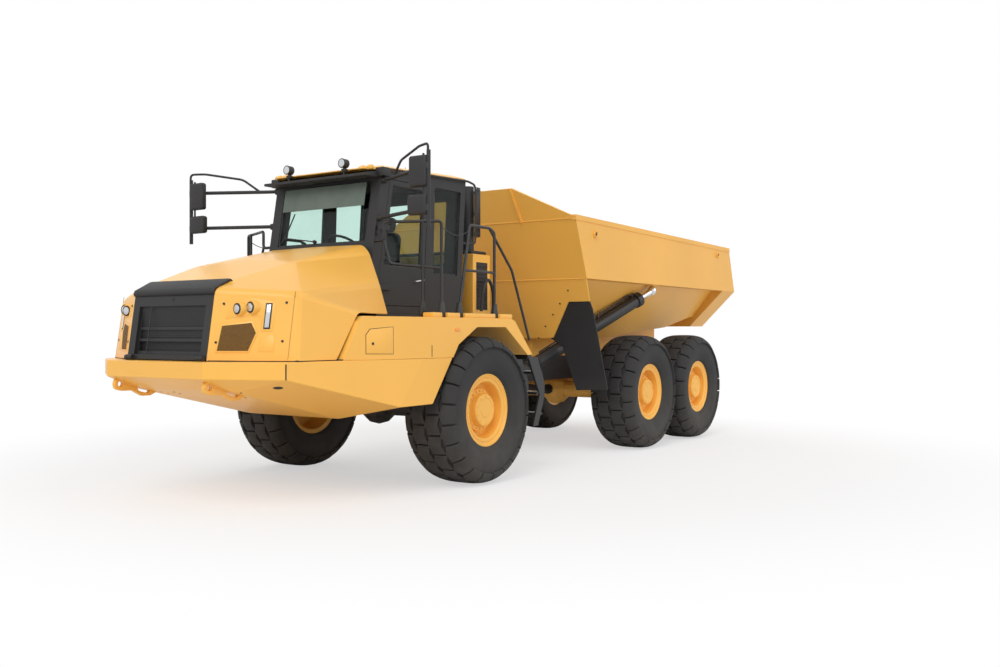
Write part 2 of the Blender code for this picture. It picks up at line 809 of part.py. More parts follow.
def build_front_frame():
    """Rails, cross members, the platform and the ears that hold the hitch."""
    solids = []
    cuts = []
    for side in SIDES:
        low, high = side_span(RAIL_INNER_X, RAIL_OUTER_X, side)
        solids.append(box((low, RAIL_FRONT, RAIL_BOTTOM), (high, RAIL_REAR, RAIL_TOP)))
        for y in (PLATFORM_FRONT + PLATFORM_LEG, PLATFORM_REAR_LEG):
            solids.append(
                box(
                    (low, y - PLATFORM_LEG / 2, RAIL_TOP - WELD),
                    (high, y + PLATFORM_LEG / 2, PLATFORM_TOP - PLATFORM_THICKNESS + WELD),
                )
            )
        low, high = side_span(RAIL_CENTRE, STRUT_X + STRUT_RADIUS, side)
        solids.append(
            box(
                (low, -STRUT_BRACKET, STRUT_TOP),
                (high, STRUT_BRACKET, PLATFORM_TOP - WELD),
            )
        )
        low, high = side_span(RAIL_CENTRE, STEER_BASE_X + STEER_EYE_RADIUS, side)
        half = STEER_BASE_WIDTH / 2 + GAP
        solids.append(
            box(
                (low, STEER_BASE_Y - STEER_EYE_RADIUS, STEER_Z - half - STEER_EYE_RADIUS / 2),
                (high, STEER_BASE_Y + STEER_EYE_RADIUS, RAIL_BOTTOM + WELD),
            )
        )
        low, high = side_span(RAIL_OUTER_X + WELD * 2, STEER_BASE_X + OVERRUN * 2, side)
        cuts.append(
            box(
                (low, STEER_BASE_Y - OVERRUN * 2, STEER_Z - half),
                (high, STEER_BASE_Y + OVERRUN * 2, STEER_Z + half),
            )
        )
    belly_top = BELLY + BUMPER_WALL + GAP
    cross_y = (BELLY_FRONT + BUMPER_REAR_LOW) / 2
    solids.append(
        box(
            (-RAIL_OUTER_X, cross_y - CROSS_MEMBER, belly_top),
            (RAIL_OUTER_X, cross_y + CROSS_MEMBER, RAIL_BOTTOM + WELD),
        )
    )
    solids.append(
        box(
            (-CAB_HALF_WIDTH, PLATFORM_FRONT, PLATFORM_TOP - PLATFORM_THICKNESS),
            (CAB_HALF_WIDTH, PLATFORM_REAR, PLATFORM_TOP),
        )
    )
    ear_low = HITCH_Z - EAR_SPREAD / 2
    ear_high = HITCH_Z + EAR_SPREAD / 2
    solids.append(
        box(
            (-RAIL_OUTER_X, RAIL_REAR - CROSS_MEMBER, RAIL_BOTTOM),
            (RAIL_OUTER_X, RAIL_REAR, ear_high + EAR_THICKNESS),
        )
    )
    solids.append(
        box(
            (-EAR_HALF_WIDTH, RAIL_REAR - CROSS_MEMBER, ear_low - EAR_THICKNESS),
            (EAR_HALF_WIDTH, RAIL_REAR, RAIL_BOTTOM + WELD),
        )
    )
    for z in (ear_low - EAR_THICKNESS, ear_high):
        solids.append(
            box(
                (-EAR_HALF_WIDTH, RAIL_REAR - WELD, z),
                (EAR_HALF_WIDTH, HITCH_Y, z + EAR_THICKNESS),
            )
        )
        solids.append(
            rod(
                (0, HITCH_Y, z),
                (0, HITCH_Y, z + EAR_THICKNESS),
                EAR_HALF_WIDTH,
                ROUND_SIDES,
            )
        )
    solids.append(
        rod(
            (0, HITCH_Y, ear_low - EAR_THICKNESS / 2),
            (0, HITCH_Y, ear_high + EAR_THICKNESS / 2),
            HITCH_PIN_RADIUS,
            ROUND_SIDES,
        )
    )
    add_node("front_frame", fused(solids, cuts), "tractor", BLACK)


def build_hitch():
    """The hitch: an upright barrel on the steering pin and a tube that the trailer rolls on."""
    low = HITCH_Z - EAR_SPREAD / 2 + GAP
    high = HITCH_Z + EAR_SPREAD / 2 - GAP
    tube_end = HEAD_FRONT + HEAD_LENGTH + GAP + HITCH_NUT_LENGTH
    flange = HEAD_FRONT - GAP - HITCH_FLANGE_LENGTH
    solids = [
        rod((0, HITCH_Y, low), (0, HITCH_Y, high), HITCH_BARREL_RADIUS, ROUND_SIDES),
        rod((0, HITCH_Y, HITCH_Z), (0, tube_end, HITCH_Z), HITCH_TUBE_RADIUS, ROUND_SIDES),
        rod(
            (0, flange, HITCH_Z),
            (0, HEAD_FRONT - GAP, HITCH_Z),
            HITCH_FLANGE_RADIUS,
            ROUND_SIDES,
        ),
        rod(
            (0, HEAD_FRONT + HEAD_LENGTH + GAP, HITCH_Z),
            (0, tube_end, HITCH_Z),
            HITCH_FLANGE_RADIUS,
            ROUND_SIDES,
        ),
    ]
    arm_top = STEER_Z - STEER_EYE_WIDTH / 2 - GAP
    arm_y = HITCH_Y + STEER_ARM_REACH
    reach = STEER_ARM_X + STEER_ARM_SIZE / 2
    solids.append(
        box(
            (-reach, arm_y - STEER_ARM_SIZE / 2, arm_top - STEER_ARM_THICKNESS),
            (reach, arm_y + STEER_ARM_SIZE / 2, arm_top),
        )
    )
    hole = bore(
        (0, HITCH_Y, low - OVERRUN), (0, HITCH_Y, high + OVERRUN), HITCH_PIN_RADIUS
    )
    add_node("hitch", fused(solids, [hole]), "hitch", BLACK)


def build_rear_frame():
    """The trailer frame: bearing head, rails, tip ears, hoist arms and beam pivots."""
    head_rear = HEAD_FRONT + HEAD_LENGTH
    solids = [
        box(
            (-RAIL_OUTER_X, HEAD_FRONT, HEAD_BOTTOM),
            (RAIL_OUTER_X, head_rear, TRAILER_TOP),
        )
    ]
    pivot_y = (MIDDLE_AXLE + REAR_AXLE) / 2
    beam_face = WALKING_BEAM_X - WALKING_BEAM_WIDTH / 2 - GAP
    ear_front = TRAILER_RAIL_REAR - TIP_EAR_SIZE * 3
    ear = (
        (ear_front, RAIL_BOTTOM),
        (TRAILER_RAIL_REAR, RAIL_BOTTOM),
        (TIP_Y + TIP_EAR_SIZE, TIP_Z),
        (TIP_Y + TIP_EAR_SIZE / 2, TIP_Z + TIP_EAR_SIZE),
        (TIP_Y - TIP_EAR_SIZE / 2, TIP_Z + TIP_EAR_SIZE),
        (ear_front, TRAILER_TOP),
    )
    for side in SIDES:
        low, high = side_span(RAIL_INNER_X, RAIL_OUTER_X, side)
        solids.append(
            box((low, head_rear - WELD, RAIL_BOTTOM), (high, TRAILER_RAIL_REAR, TRAILER_TOP))
        )
        low, high = side_span(RAIL_OUTER_X - WELD, WALKING_BEAM_X - WALKING_BEAM_WIDTH, side)
        solids.append(
            box(
                (low, pivot_y - CROSS_MEMBER, RAIL_BOTTOM),
                (high, pivot_y + CROSS_MEMBER, TRAILER_TOP),
            )
        )
        solids.append(
            rod(
                (side.sign * RAIL_CENTRE, pivot_y, BEAM_Z),
                (side.sign * beam_face, pivot_y, BEAM_Z),
                WALKING_PIVOT_RADIUS,
            )
        )
        low, high = side_span(RAIL_OUTER_X + GAP, RAIL_OUTER_X + TIP_EAR_THICKNESS, side)
        solids.append(prism(ear, "X", low, high))
        low, high = side_span(RAIL_OUTER_X - WELD, RAIL_OUTER_X + WELD, side)
        solids.append(box((low, ear_front, RAIL_BOTTOM), (high, TRAILER_RAIL_REAR, TRAILER_TOP)))
        solids.append(
            rod(
                (side.sign * RAIL_INNER_X, TIP_Y, TIP_Z),
                (side.sign * (RAIL_OUTER_X + TIP_EAR_THICKNESS), TIP_Y, TIP_Z),
                TIP_PIN_RADIUS,
                ROUND_SIDES,
            )
        )
        low, high = side_span(
            RAIL_OUTER_X - WELD, HOIST_BASE.x - HOIST_BALL_RADIUS - GAP, side
        )
        solids.append(
            box(
                (low, HOIST_BASE.y - HOIST_BARREL_RADIUS, HOIST_BASE.z - HOIST_BARREL_RADIUS),
                (high, HOIST_BASE.y + HOIST_BARREL_RADIUS, HOIST_BASE.z + HOIST_BARREL_RADIUS),
            )
        )
    hole = bore(
        (0, HEAD_FRONT - OVERRUN, HITCH_Z), (0, head_rear + OVERRUN, HITCH_Z), HITCH_TUBE_RADIUS
    )
    add_node("rear_frame", fused(solids, [hole]), "trailer", BLACK)


def build_walking_beams():
    """The beams that share the load between the middle and rear axles."""
    low_z = BEAM_Z - WALKING_BEAM_HEIGHT / 2
    high_z = BEAM_Z + WALKING_BEAM_HEIGHT / 2
    front = MIDDLE_AXLE - AXLE_PAD / 2
    rear = REAR_AXLE + AXLE_PAD / 2
    middle = (front + rear) / 2
    outline = (
        (front, low_z),
        (rear, low_z),
        (rear, high_z - WALKING_BEAM_HEIGHT / 3),
        (middle + AXLE_PAD, high_z + WALKING_BEAM_HEIGHT / 3),
        (middle - AXLE_PAD, high_z + WALKING_BEAM_HEIGHT / 3),
        (front, high_z - WALKING_BEAM_HEIGHT / 3),
    )
    for side in SIDES:
        low, high = side_span(
            WALKING_BEAM_X - WALKING_BEAM_WIDTH / 2, WALKING_BEAM_X + WALKING_BEAM_WIDTH / 2, side
        )
        add_node(f"walking_beam_{side.name}", prism(outline, "X", low, high), "trailer", YELLOW)


def build_drive_shaft():
    """The shaft from the bearing head to the middle axle, and on to the rear axle."""
    start = Vector((0, HEAD_FRONT + HEAD_LENGTH + 2 * GAP + HITCH_NUT_LENGTH, HITCH_Z))
    end = Vector((0, MIDDLE_AXLE - DIFFERENTIAL_RADIUS - GAP, TYRE_RADIUS))
    bend = start + Vector((0, SHAFT_RADIUS, 0))
    stop = end - Vector((0, SHAFT_RADIUS, 0))
    solids = [
        rod(start, bend + Vector((0, WELD, 0)), SHAFT_RADIUS * 1.6),
        rod(bend, stop, SHAFT_RADIUS),
        rod(stop - Vector((0, WELD, 0)), end, SHAFT_RADIUS * 1.6),
    ]
    add_node("drive_shaft", fused(solids), "trailer", BLACK)


def steering_pins(side):
    """The two pins of a steering cylinder."""
    z = STEER_Z
    base = Vector((side.sign * STEER_BASE_X, STEER_BASE_Y, z))
    eye = Vector((side.sign * STEER_ARM_X, HITCH_Y + STEER_ARM_REACH, z))
    return base, eye


def barrel_and_rod(base, eye, shown, back, radius, rod_radius, base_eye, rod_eye):
    """A cylinder's bored barrel with its base eye, and its rod with the other eye.

    The rod shows one length outside the barrel and stands another from the bore's bottom.
    """
    line = (eye - base).normalized()
    head = eye - line * shown
    start = base + line * radius * 0.4
    bottom = start + line * radius
    hole = rod(bottom, head + line * radius, rod_radius + PIN_CLEARANCE)
    barrel = fused(
        [
            rod(start, head, radius),
            rod(head - line * radius, head, radius * 1.18),
            base_eye,
        ],
        [hole],
    )
    shaft = fused([rod(bottom + line * back, eye - line * rod_radius, rod_radius), rod_eye])
    return barrel, shaft


def build_steering_cylinders():
    """The two cylinders that swing the hitch about its upright pin."""
    for side in SIDES:
        base, eye = steering_pins(side)
        add_body(f"steering_barrel_{side.name}", "tractor", base)
        add_body(f"steering_rod_{side.name}", f"steering_barrel_{side.name}", eye)
        base_half = Vector((0, 0, STEER_BASE_WIDTH / 2))
        eye_half = Vector((0, 0, STEER_EYE_WIDTH / 2))
        barrel, shaft = barrel_and_rod(
            base,
            eye,
            STEER_ROD_SHOWN,
            STEER_ROD_BACK,
            STEER_BARREL_RADIUS,
            STEER_ROD_RADIUS,
            rod(base - base_half, base + base_half, STEER_EYE_RADIUS),
            rod(eye - eye_half, eye + eye_half, STEER_EYE_RADIUS),
        )
        add_node(f"steering_barrel_{side.name}", barrel, f"steering_barrel_{side.name}", BLACK)
        add_node(f"steering_rod_{side.name}", shaft, f"steering_rod_{side.name}", STEEL)


def build_hoist_cylinders():
    """The two cylinders that raise the bed, on ball joints because they lean outwards."""
    for side in SIDES:
        base = mirrored(HOIST_BASE, side)
        eye = mirrored(HOIST_EYE, side)
        add_body(f"hoist_barrel_{side.name}", "trailer", base)
        add_body(f"hoist_rod_{side.name}", f"hoist_barrel_{side.name}", eye)
        barrel, shaft = barrel_and_rod(
            base,
            eye,
            HOIST_ROD_SHOWN,
            HOIST_ROD_BACK,
            HOIST_BARREL_RADIUS,
            HOIST_ROD_RADIUS,
            ball(base, HOIST_BALL_RADIUS),
            ball(eye, HOIST_EYE_RADIUS),
        )
        add_node(f"hoist_barrel_{side.name}", barrel, f"hoist_barrel_{side.name}", BLACK)
        add_node(f"hoist_rod_{side.name}", shaft, f"hoist_rod_{side.name}", STEEL)


def front_wall_y(z):
    """Where the bed's sloping front wall stands at a height."""
    return BED_FRONT + BED_FRONT_SLOPE_SHARE * (BED_FRONT_TOP - z)


def hopper_x(z):
    """Where the bed's lower sides stand at a height."""
    return BED_HALF_WIDTH - BED_LEDGE - BED_HOPPER_SHARE * (BED_SIDE_BOTTOM - z)


def bed_shell():
    """The bed's plates: raised front wall, sides, sloping lower sides and duck-tailed floor."""
    ledge_x = BED_HALF_WIDTH - BED_LEDGE
    points = {
        "guard_mid": (0, front_wall_y(BED_GUARD_TOP), BED_GUARD_TOP),
        "guard": (BED_GUARD_HALF_WIDTH, front_wall_y(BED_GUARD_TOP), BED_GUARD_TOP),
        "front_top": (BED_HALF_WIDTH, BED_FRONT, BED_FRONT_TOP),
        "front_low": (BED_HALF_WIDTH, front_wall_y(BED_SIDE_BOTTOM), BED_SIDE_BOTTOM),
        "ledge_front": (ledge_x, front_wall_y(BED_SIDE_BOTTOM), BED_SIDE_BOTTOM),
        "ledge_rear": (ledge_x, BED_REAR, BED_SIDE_BOTTOM),
        "rear_low": (BED_HALF_WIDTH, BED_REAR, BED_SIDE_BOTTOM),
        "rear_top": (BED_HALF_WIDTH, BED_REAR_TOP_Y, BED_REAR_TOP),
    }
    stations = (
        ("front", front_wall_y(FLOOR_LOW), FLOOR_LOW),
        ("flat", FLOOR_FLAT_Y, FLOOR_LOW),
        ("low", FLOOR_RISE_Y, FLOOR_LOW),
        ("kink", FLOOR_KINK_Y, FLOOR_KINK),
        ("high", FLOOR_HIGH_Y, FLOOR_HIGH),
        ("rear", BED_REAR, FLOOR_HIGH),
    )
    for name, y, z in stations:
        points[f"floor_{name}"] = (hopper_x(z), y, z)
        points[f"floor_{name}_mid"] = (0, y, z)
    floor_edge = [f"floor_{name}" for name, y, z in stations]
    faces = [
        (
            "guard_mid",
            "guard",
            "front_top",
            "front_low",
            "ledge_front",
            "floor_front",
            "floor_front_mid",
        ),
        ("front_top", "rear_top", "rear_low", "front_low"),
        ("front_low", "rear_low", "ledge_rear", "ledge_front"),
        ("ledge_front", "ledge_rear", *reversed(floor_edge)),
    ]
    for near, far in zip(floor_edge, floor_edge[1:]):
        faces.append((near, far, far + "_mid", near + "_mid"))
    return plates(points, faces, BED_WALL)


def bed_beams():
    """The two beams below the floor, which rest on the trailer frame."""
    high_z = FLOOR_KINK + (FLOOR_HIGH - FLOOR_KINK) * (BED_BEAM_REAR - FLOOR_KINK_Y) / (
        FLOOR_HIGH_Y - FLOOR_KINK_Y
    )
    outline = (
        (BED_BEAM_FRONT, BED_BEAM_BOTTOM),
        (BED_BEAM_REAR, BED_BEAM_BOTTOM),
        (BED_BEAM_REAR, high_z + WELD),
        (FLOOR_KINK_Y, FLOOR_KINK + WELD),
        (FLOOR_RISE_Y, FLOOR_LOW + WELD),
        (BED_BEAM_FRONT, FLOOR_LOW + WELD),
    )
    beams = []
    for side in SIDES:
        low, high = side_span(RAIL_INNER_X, RAIL_OUTER_X - RUNNING_GAP, side)
        beams.append(prism(outline, "X", low, high))
    return beams


def build_bed():
    """The bed with its lips, tail ring, beams and the arms of the hoist rods."""
    add_body("bed", "trailer", (0, TIP_Y, TIP_Z))
    solids = [bed_shell()]
    solids += bed_beams()
    ring_x = hopper_x(TAIL_RING_BOTTOM) + TAIL_RING_DEPTH
    ring_top = BED_SIDE_BOTTOM + BED_WALL / 2
    slope_top = hopper_x(ring_top) - WELD
    floor_top = FLOOR_HIGH + BED_WALL / 2
    slope_low = hopper_x(floor_top)
    ring = (
        (BED_HALF_WIDTH - BED_WALL / 2, ring_top),
        (BED_HALF_WIDTH, BED_SIDE_BOTTOM),
        (ring_x, TAIL_RING_BOTTOM),
        (-ring_x, TAIL_RING_BOTTOM),
        (-BED_HALF_WIDTH, BED_SIDE_BOTTOM),
        (-BED_HALF_WIDTH + BED_WALL / 2, ring_top),
        (-slope_top, ring_top),
        (-slope_low, floor_top),
        (slope_low, floor_top),
        (slope_top, ring_top),
    )
    solids.append(prism(ring, "Y", TAIL_RING_FRONT, BED_REAR))
    cuts = []
    for side in SIDES:
        solids.append(front_plate(flange_outline(), side, FLANGE_OVERLAP, FLANGE_THICKNESS))
        solids.append(front_plate(rib_outline(), side, -RIB_PROUD, FLANGE_OVERLAP))
        for y in (BOSS_FRONT_Y, BOSS_REAR_Y):
            low, high = side_span(BED_HALF_WIDTH - WELD, BED_HALF_WIDTH + BOSS_PROUD, side)
            solids.append(rod((low, y, BOSS_Z), (high, y, BOSS_Z), BOSS_RADIUS))
        lip = BED_LIP / 2
        front = mirrored((BED_HALF_WIDTH, BED_FRONT, BED_FRONT_TOP), side)
        rear = mirrored((BED_HALF_WIDTH, BED_REAR_TOP_Y, BED_REAR_TOP), side)
        low, high = side_span(BED_HALF_WIDTH - BED_LIP, BED_HALF_WIDTH + WELD, side)
        outline = (
            (front.y, front.z - lip),
            (rear.y + WELD, rear.z - lip),
            (rear.y, rear.z + lip),
            (front.y, front.z + lip),
        )
        solids.append(prism(outline, "X", low, high))
        low, high = side_span(
            HOIST_EYE.x - HOIST_EYE_RADIUS, HOIST_EYE.x + HOIST_EYE_RADIUS, side
        )
        pad_y = HOIST_EYE_RADIUS * 1.5
        pad_z = HOIST_EYE.z + HOIST_EYE_RADIUS + GAP
        solids.append(
            box(
                (low, HOIST_EYE.y - pad_y, pad_z),
                (high, HOIST_EYE.y + pad_y, BED_SIDE_BOTTOM + WELD),
            )
        )
        cuts.append(
            bore(
                (side.sign * (RAIL_INNER_X - OVERRUN), TIP_Y, TIP_Z),
                (side.sign * (RAIL_OUTER_X + OVERRUN), TIP_Y, TIP_Z),
                TIP_PIN_RADIUS,
            )
        )
    add_node("bed", fused(solids, cuts), "bed", YELLOW)
    build_flaps()


def front_plate(outline, side, near, far):
    """A plate along the bed's sloping front wall, between two distances behind its face."""
    layers = [
        [(side.sign * x, front_wall_y(z) + depth, z) for x, z in outline] for depth in (near, far)
    ]
    return layered(*layers)


def flange_outline():
    """The front wall's flange, past the sloping lower side and out to the bed's corner."""
    return (
        (hopper_x(FLOOR_LOW) - WELD, FLOOR_LOW + WELD),
        (hopper_x(FLOOR_LOW) + FLANGE_WIDTH, FLOOR_LOW + WELD),
        (hopper_x(FLANGE_KINK_Z) + FLANGE_WIDTH * FLANGE_KINK_SHARE, FLANGE_KINK_Z),
        (BED_HALF_WIDTH - BED_WALL, FLANGE_KINK_Z),
        (BED_HALF_WIDTH - WELD, BED_SIDE_BOTTOM + WELD),
        (hopper_x(BED_SIDE_BOTTOM) - WELD, BED_SIDE_BOTTOM + WELD),
    )


def rib_outline():
    """The rib down the raised front wall, from its upper corner."""
    low_x = BED_GUARD_HALF_WIDTH + RIB_SLANT
    low_z = BED_GUARD_TOP - RIB_HEIGHT
    return (
        (BED_GUARD_HALF_WIDTH - RIB_WIDTH, BED_GUARD_TOP - WELD),
        (BED_GUARD_HALF_WIDTH, BED_GUARD_TOP - WELD),
        (low_x, low_z),
        (low_x - RIB_WIDTH, low_z),
    )


def build_flaps():
    """The mud flaps, bolted behind the front wall's flange."""
    inner_x = hopper_x(FLOOR_LOW) + FLAP_OFFSET
    width = BED_HALF_WIDTH - FLAP_EDGE - inner_x
    outline = spread(FLAP_OUTLINE_SHARES, (inner_x, FLAP_BOTTOM), (width, FLAP_HEIGHT))
    near = FLANGE_THICKNESS + GAP
    for side in SIDES:
        flap = front_plate(outline, side, near, near + FLAP_THICKNESS)
        add_node(f"mud_flap_{side.name}", flap, "bed", RUBBER)


def build_bumper():
    """The bumper apron with its ledge, corner facets, belly and tow lugs."""
    inner = BODY_HALF_WIDTH - BUMPER_LEDGE
    points = {
        "ledge_mid": (0, BUMPER_FRONT + BUMPER_LEDGE, BUMPER_TOP),
        "ledge_front": (BUMPER_HALF_WIDTH - WELD, BUMPER_FRONT + BUMPER_LEDGE, BUMPER_TOP),
        "ledge_corner": (inner, BUMPER_CORNER + BUMPER_LEDGE, BUMPER_TOP),
        "ledge_rear": (inner, BUMPER_REAR_TOP, BUMPER_TOP),
        "top_mid": (0, BUMPER_FRONT, BUMPER_TOP),
        "top_front": (BUMPER_HALF_WIDTH, BUMPER_FRONT, BUMPER_TOP),
        "top_corner": (BODY_HALF_WIDTH, BUMPER_CORNER, BUMPER_TOP),
        "top_rear": (BODY_HALF_WIDTH, BUMPER_REAR_TOP, BUMPER_TOP),
        "low_mid": (0, BUMPER_FRONT, BUMPER_BOTTOM),
        "low_front": (BUMPER_HALF_WIDTH, BUMPER_FRONT, BUMPER_BOTTOM),
        "low_corner": (BODY_HALF_WIDTH, BUMPER_CORNER, BUMPER_BOTTOM - BUMPER_CORNER_DROP),
        "low_rear": (BODY_HALF_WIDTH, BUMPER_REAR_LOW, BUMPER_SIDE_LOW),
        "belly_mid": (0, BELLY_FRONT, BELLY),
        "belly_front": (BELLY_FRONT_HALF_WIDTH, BELLY_FRONT, BELLY),
        "belly_rear": (BELLY_REAR_HALF_WIDTH, BUMPER_REAR_LOW, BELLY),
        "belly_rear_mid": (0, BUMPER_REAR_LOW, BELLY),
    }
    faces = (
        ("ledge_mid", "ledge_front", "top_front", "top_mid"),
        ("ledge_front", "ledge_corner", "top_corner", "top_front"),
        ("ledge_corner", "ledge_rear", "top_rear", "top_corner"),
        ("top_mid", "top_front", "low_front", "low_mid"),
        ("top_front", "top_corner", "low_corner", "low_front"),
        ("top_corner", "top_rear", "low_rear", "low_corner"),
        ("low_mid", "low_front", "belly_front", "belly_mid"),
        ("low_front", "low_corner", "belly_front"),
        ("low_corner", "low_rear", "belly_rear", "belly_front"),
        ("belly_mid", "belly_front", "belly_rear", "belly_rear_mid"),
    )
    solids = [plates(points, faces, BUMPER_WALL)]
    cuts = []
    for side in SIDES:
        low, high = side_span(
            TOW_LUG_X - TOW_LUG_THICKNESS / 2, TOW_LUG_X + TOW_LUG_THICKNESS / 2, side
        )
        centre = (TOW_LUG_Y, TOW_LUG_Z)
        solids.append(
            rod((low, *centre), (high, *centre), TOW_LUG_RADIUS, 16)
        )
        solids.append(
            box(
                (low, TOW_LUG_Y, TOW_LUG_Z - TOW_LUG_RADIUS),
                (high, TOW_LUG_Y + TOW_LUG_RADIUS * 3, TOW_LUG_Z + TOW_LUG_RADIUS * 0.6),
            )
        )
        cuts.append(
            rod(
                (low - OVERRUN, *centre),
                (high + OVERRUN, *centre),
                TOW_LUG_HOLE,
                12,
            )
        )
    add_node("bumper", fused(solids, cuts), "tractor", YELLOW)


def arch_points():
    """The wheel arch's outline from its rear foot to its front foot."""
    points = []
    for angle, share in zip(ARCH_ANGLES, ARCH_RADIUS_SHARES):
        reach = TYRE_RADIUS * share
        points.append(
            (reach * sin(radians(angle)), TYRE_RADIUS + reach * cos(radians(angle)))
        )
    points[0] = (points[0][0], FENDER_FOOT)
    points[-1] = (points[-1][0], FENDER_FOOT)
    return points


def build_fenders():
    """The front fenders: an outer skin, a deck and an arch over the wheel."""
    outline = spread(
        FENDER_OUTLINE_SHARES,
        (FENDER_FRONT, FENDER_FOOT),
        (FENDER_REAR - FENDER_FRONT, FENDER_DECK - FENDER_FOOT),
    )
    whole = outline + arch_points()
    inner = inset(whole, FENDER_WALL)
    for side in SIDES:
        outer_x = side.sign * BODY_HALF_WIDTH
        skin_x = side.sign * (BODY_HALF_WIDTH - FENDER_WALL)
        open_x = side.sign * (FENDER_INNER - OVERRUN)
        solid = prism(whole, "X", side.sign * FENDER_INNER, outer_x)
        hollow = prism(inner, "X", open_x, skin_x)
        foot_front = outline[0][0] + FENDER_WALL * 2
        foot_rear = whole[-1][0] - FENDER_WALL * 2
        slot = box(
            (min(open_x, skin_x), foot_front, FENDER_FOOT - OVERRUN),
            (max(open_x, skin_x), foot_rear, FENDER_FOOT + FENDER_WALL * 2),
        )
        add_node(f"fender_{side.name}", fused([solid], [hollow, slot]), "tractor", YELLOW)


def build_engine():
    """The engine as one plain block on the frame rails."""
    solid = box(
        (-ENGINE_HALF_WIDTH, ENGINE_FRONT, RAIL_TOP + GAP),
        (ENGINE_HALF_WIDTH, ENGINE_REAR, ENGINE_TOP),
    )
    add_node("engine_block", solid, "tractor", BLACK)


def hood_corner(across, up, depth, side):
    """A point on the hood's flat front corner, from shares of its width and height."""
    foot = Vector((GRILLE_HALF_WIDTH, HOOD_FRONT, HOOD_BOTTOM))
    run = Vector((HOOD_SIDE - GRILLE_HALF_WIDTH, HOOD_CORNER - HOOD_FRONT, 0))
    rise = Vector((0, HOOD_LEAN, GRILLE_TOP - HOOD_BOTTOM))
    outward = run.cross(rise).normalized()
    return mirrored(foot + run * across + rise * up + outward * depth, side)


def corner_piece(shares, low, high, side):
    """A block with an outline on the hood's front corner, between two heights over it."""
    layers = [[hood_corner(*share, depth, side) for share in shares] for depth in (low, high)]
    return layered(*layers)


def shoulder_y():
    """Where the hood's shoulder stands in the plane of its front corner."""
    across = (HOOD_SHOULDER_X - GRILLE_HALF_WIDTH) / (HOOD_SIDE - GRILLE_HALF_WIDTH)
    up = (HOOD_SHOULDER_Z - HOOD_BOTTOM) / (GRILLE_TOP - HOOD_BOTTOM)
    return hood_corner(across, up, 0, SIDES[0]).y


def build_hood():
    """The hood shell, from the grille back to the cab."""
    add_body("hood", "tractor", (0, HOOD_HINGE_Y, HOOD_HINGE_Z))
    deck = FENDER_DECK + HOOD_DECK_GAP
    slope_top = spread(
        FENDER_OUTLINE_SHARES[2:3],
        (FENDER_FRONT, FENDER_FOOT),
        (FENDER_REAR - FENDER_FRONT, FENDER_DECK - FENDER_FOOT),
    )[0]
    side_rear = FENDER_FRONT - HOOD_DECK_GAP
    side_top = slope_top[0] - HOOD_DECK_GAP
    points = {
        "front_mid": (0, HOOD_FRONT + HOOD_LEAN, HOOD_FRONT_TOP),
        "front": (GRILLE_HALF_WIDTH, HOOD_FRONT + HOOD_LEAN, GRILLE_TOP),
        "front_low": (GRILLE_HALF_WIDTH, HOOD_FRONT, HOOD_BOTTOM),
        "middle_mid": (0, HOOD_MIDDLE, HOOD_MIDDLE_TOP),
        "middle": (HOOD_RIDGE_X, HOOD_MIDDLE, HOOD_MIDDLE_TOP - HOOD_RIDGE_DROP),
        "rear_mid": (0, HOOD_REAR, HOOD_REAR_TOP),
        "rear": (HOOD_REAR_HALF_WIDTH - HOOD_REAR_BEVEL, HOOD_REAR, HOOD_REAR_TOP - WELD),
        "rear_edge": (HOOD_REAR_HALF_WIDTH, HOOD_REAR, HOOD_REAR_TOP - HOOD_RIDGE_DROP * 2),
        "rear_shoulder": (HOOD_REAR_HALF_WIDTH, HOOD_REAR, HOOD_REAR_SHOULDER),
        "shoulder": (HOOD_SHOULDER_X, shoulder_y(), HOOD_SHOULDER_Z),
        "corner_low": (HOOD_SIDE, HOOD_CORNER, HOOD_BOTTOM),
        "side_low": (HOOD_SIDE, side_rear, HOOD_BOTTOM),
        "side_top": (HOOD_SIDE, side_top, deck),
        "deck_rear": (HOOD_REAR_HALF_WIDTH, HOOD_REAR, deck),
    }
    faces = (
        ("front_mid", "front", "middle", "middle_mid"),
        ("middle_mid", "middle", "rear", "rear_mid"),
        ("front", "shoulder", "middle"),
        ("middle", "shoulder", "rear_shoulder", "rear_edge", "rear"),
        ("front", "front_low", "corner_low", "shoulder"),
        ("corner_low", "side_low", "side_top", "shoulder"),
        ("shoulder", "side_top", "deck_rear", "rear_shoulder"),
    )
    solids = [plates(points, faces, HOOD_WALL)]
    cuts = []
    for side in SIDES:
        for share in LAMP_SHARES:
            back = hood_corner(*share, -HOOD_WALL / 2, side)
            solids.append(rod(back, hood_corner(*share, LAMP_PROUD, side), LAMP_RADIUS))
        solids.append(corner_piece(STRIP_LAMP_SHARES, -HOOD_WALL / 2, LAMP_PROUD / 2, side))
        for shares in (SCREEN_SHARES, POCKET_SHARES):
            cuts.append(corner_piece(shares, -SCREEN_DEPTH, OVERRUN, side))
    add_node("hood", fused(solids, cuts), "hood", YELLOW)


def grille_block(half_width, low, high, front, depth):
    """A block across the leaning grille, between two heights and a depth behind its face."""
    slope = HOOD_LEAN / (GRILLE_TOP - HOOD_BOTTOM)
    face = {z: HOOD_FRONT + slope * (z - HOOD_BOTTOM) + front for z in (low, high)}
    outline = (
        (face[low], low),
        (face[low] + depth, low),
        (face[high] + depth, high),
        (face[high], high),
    )
    return prism(outline, "X", -half_width, half_width)


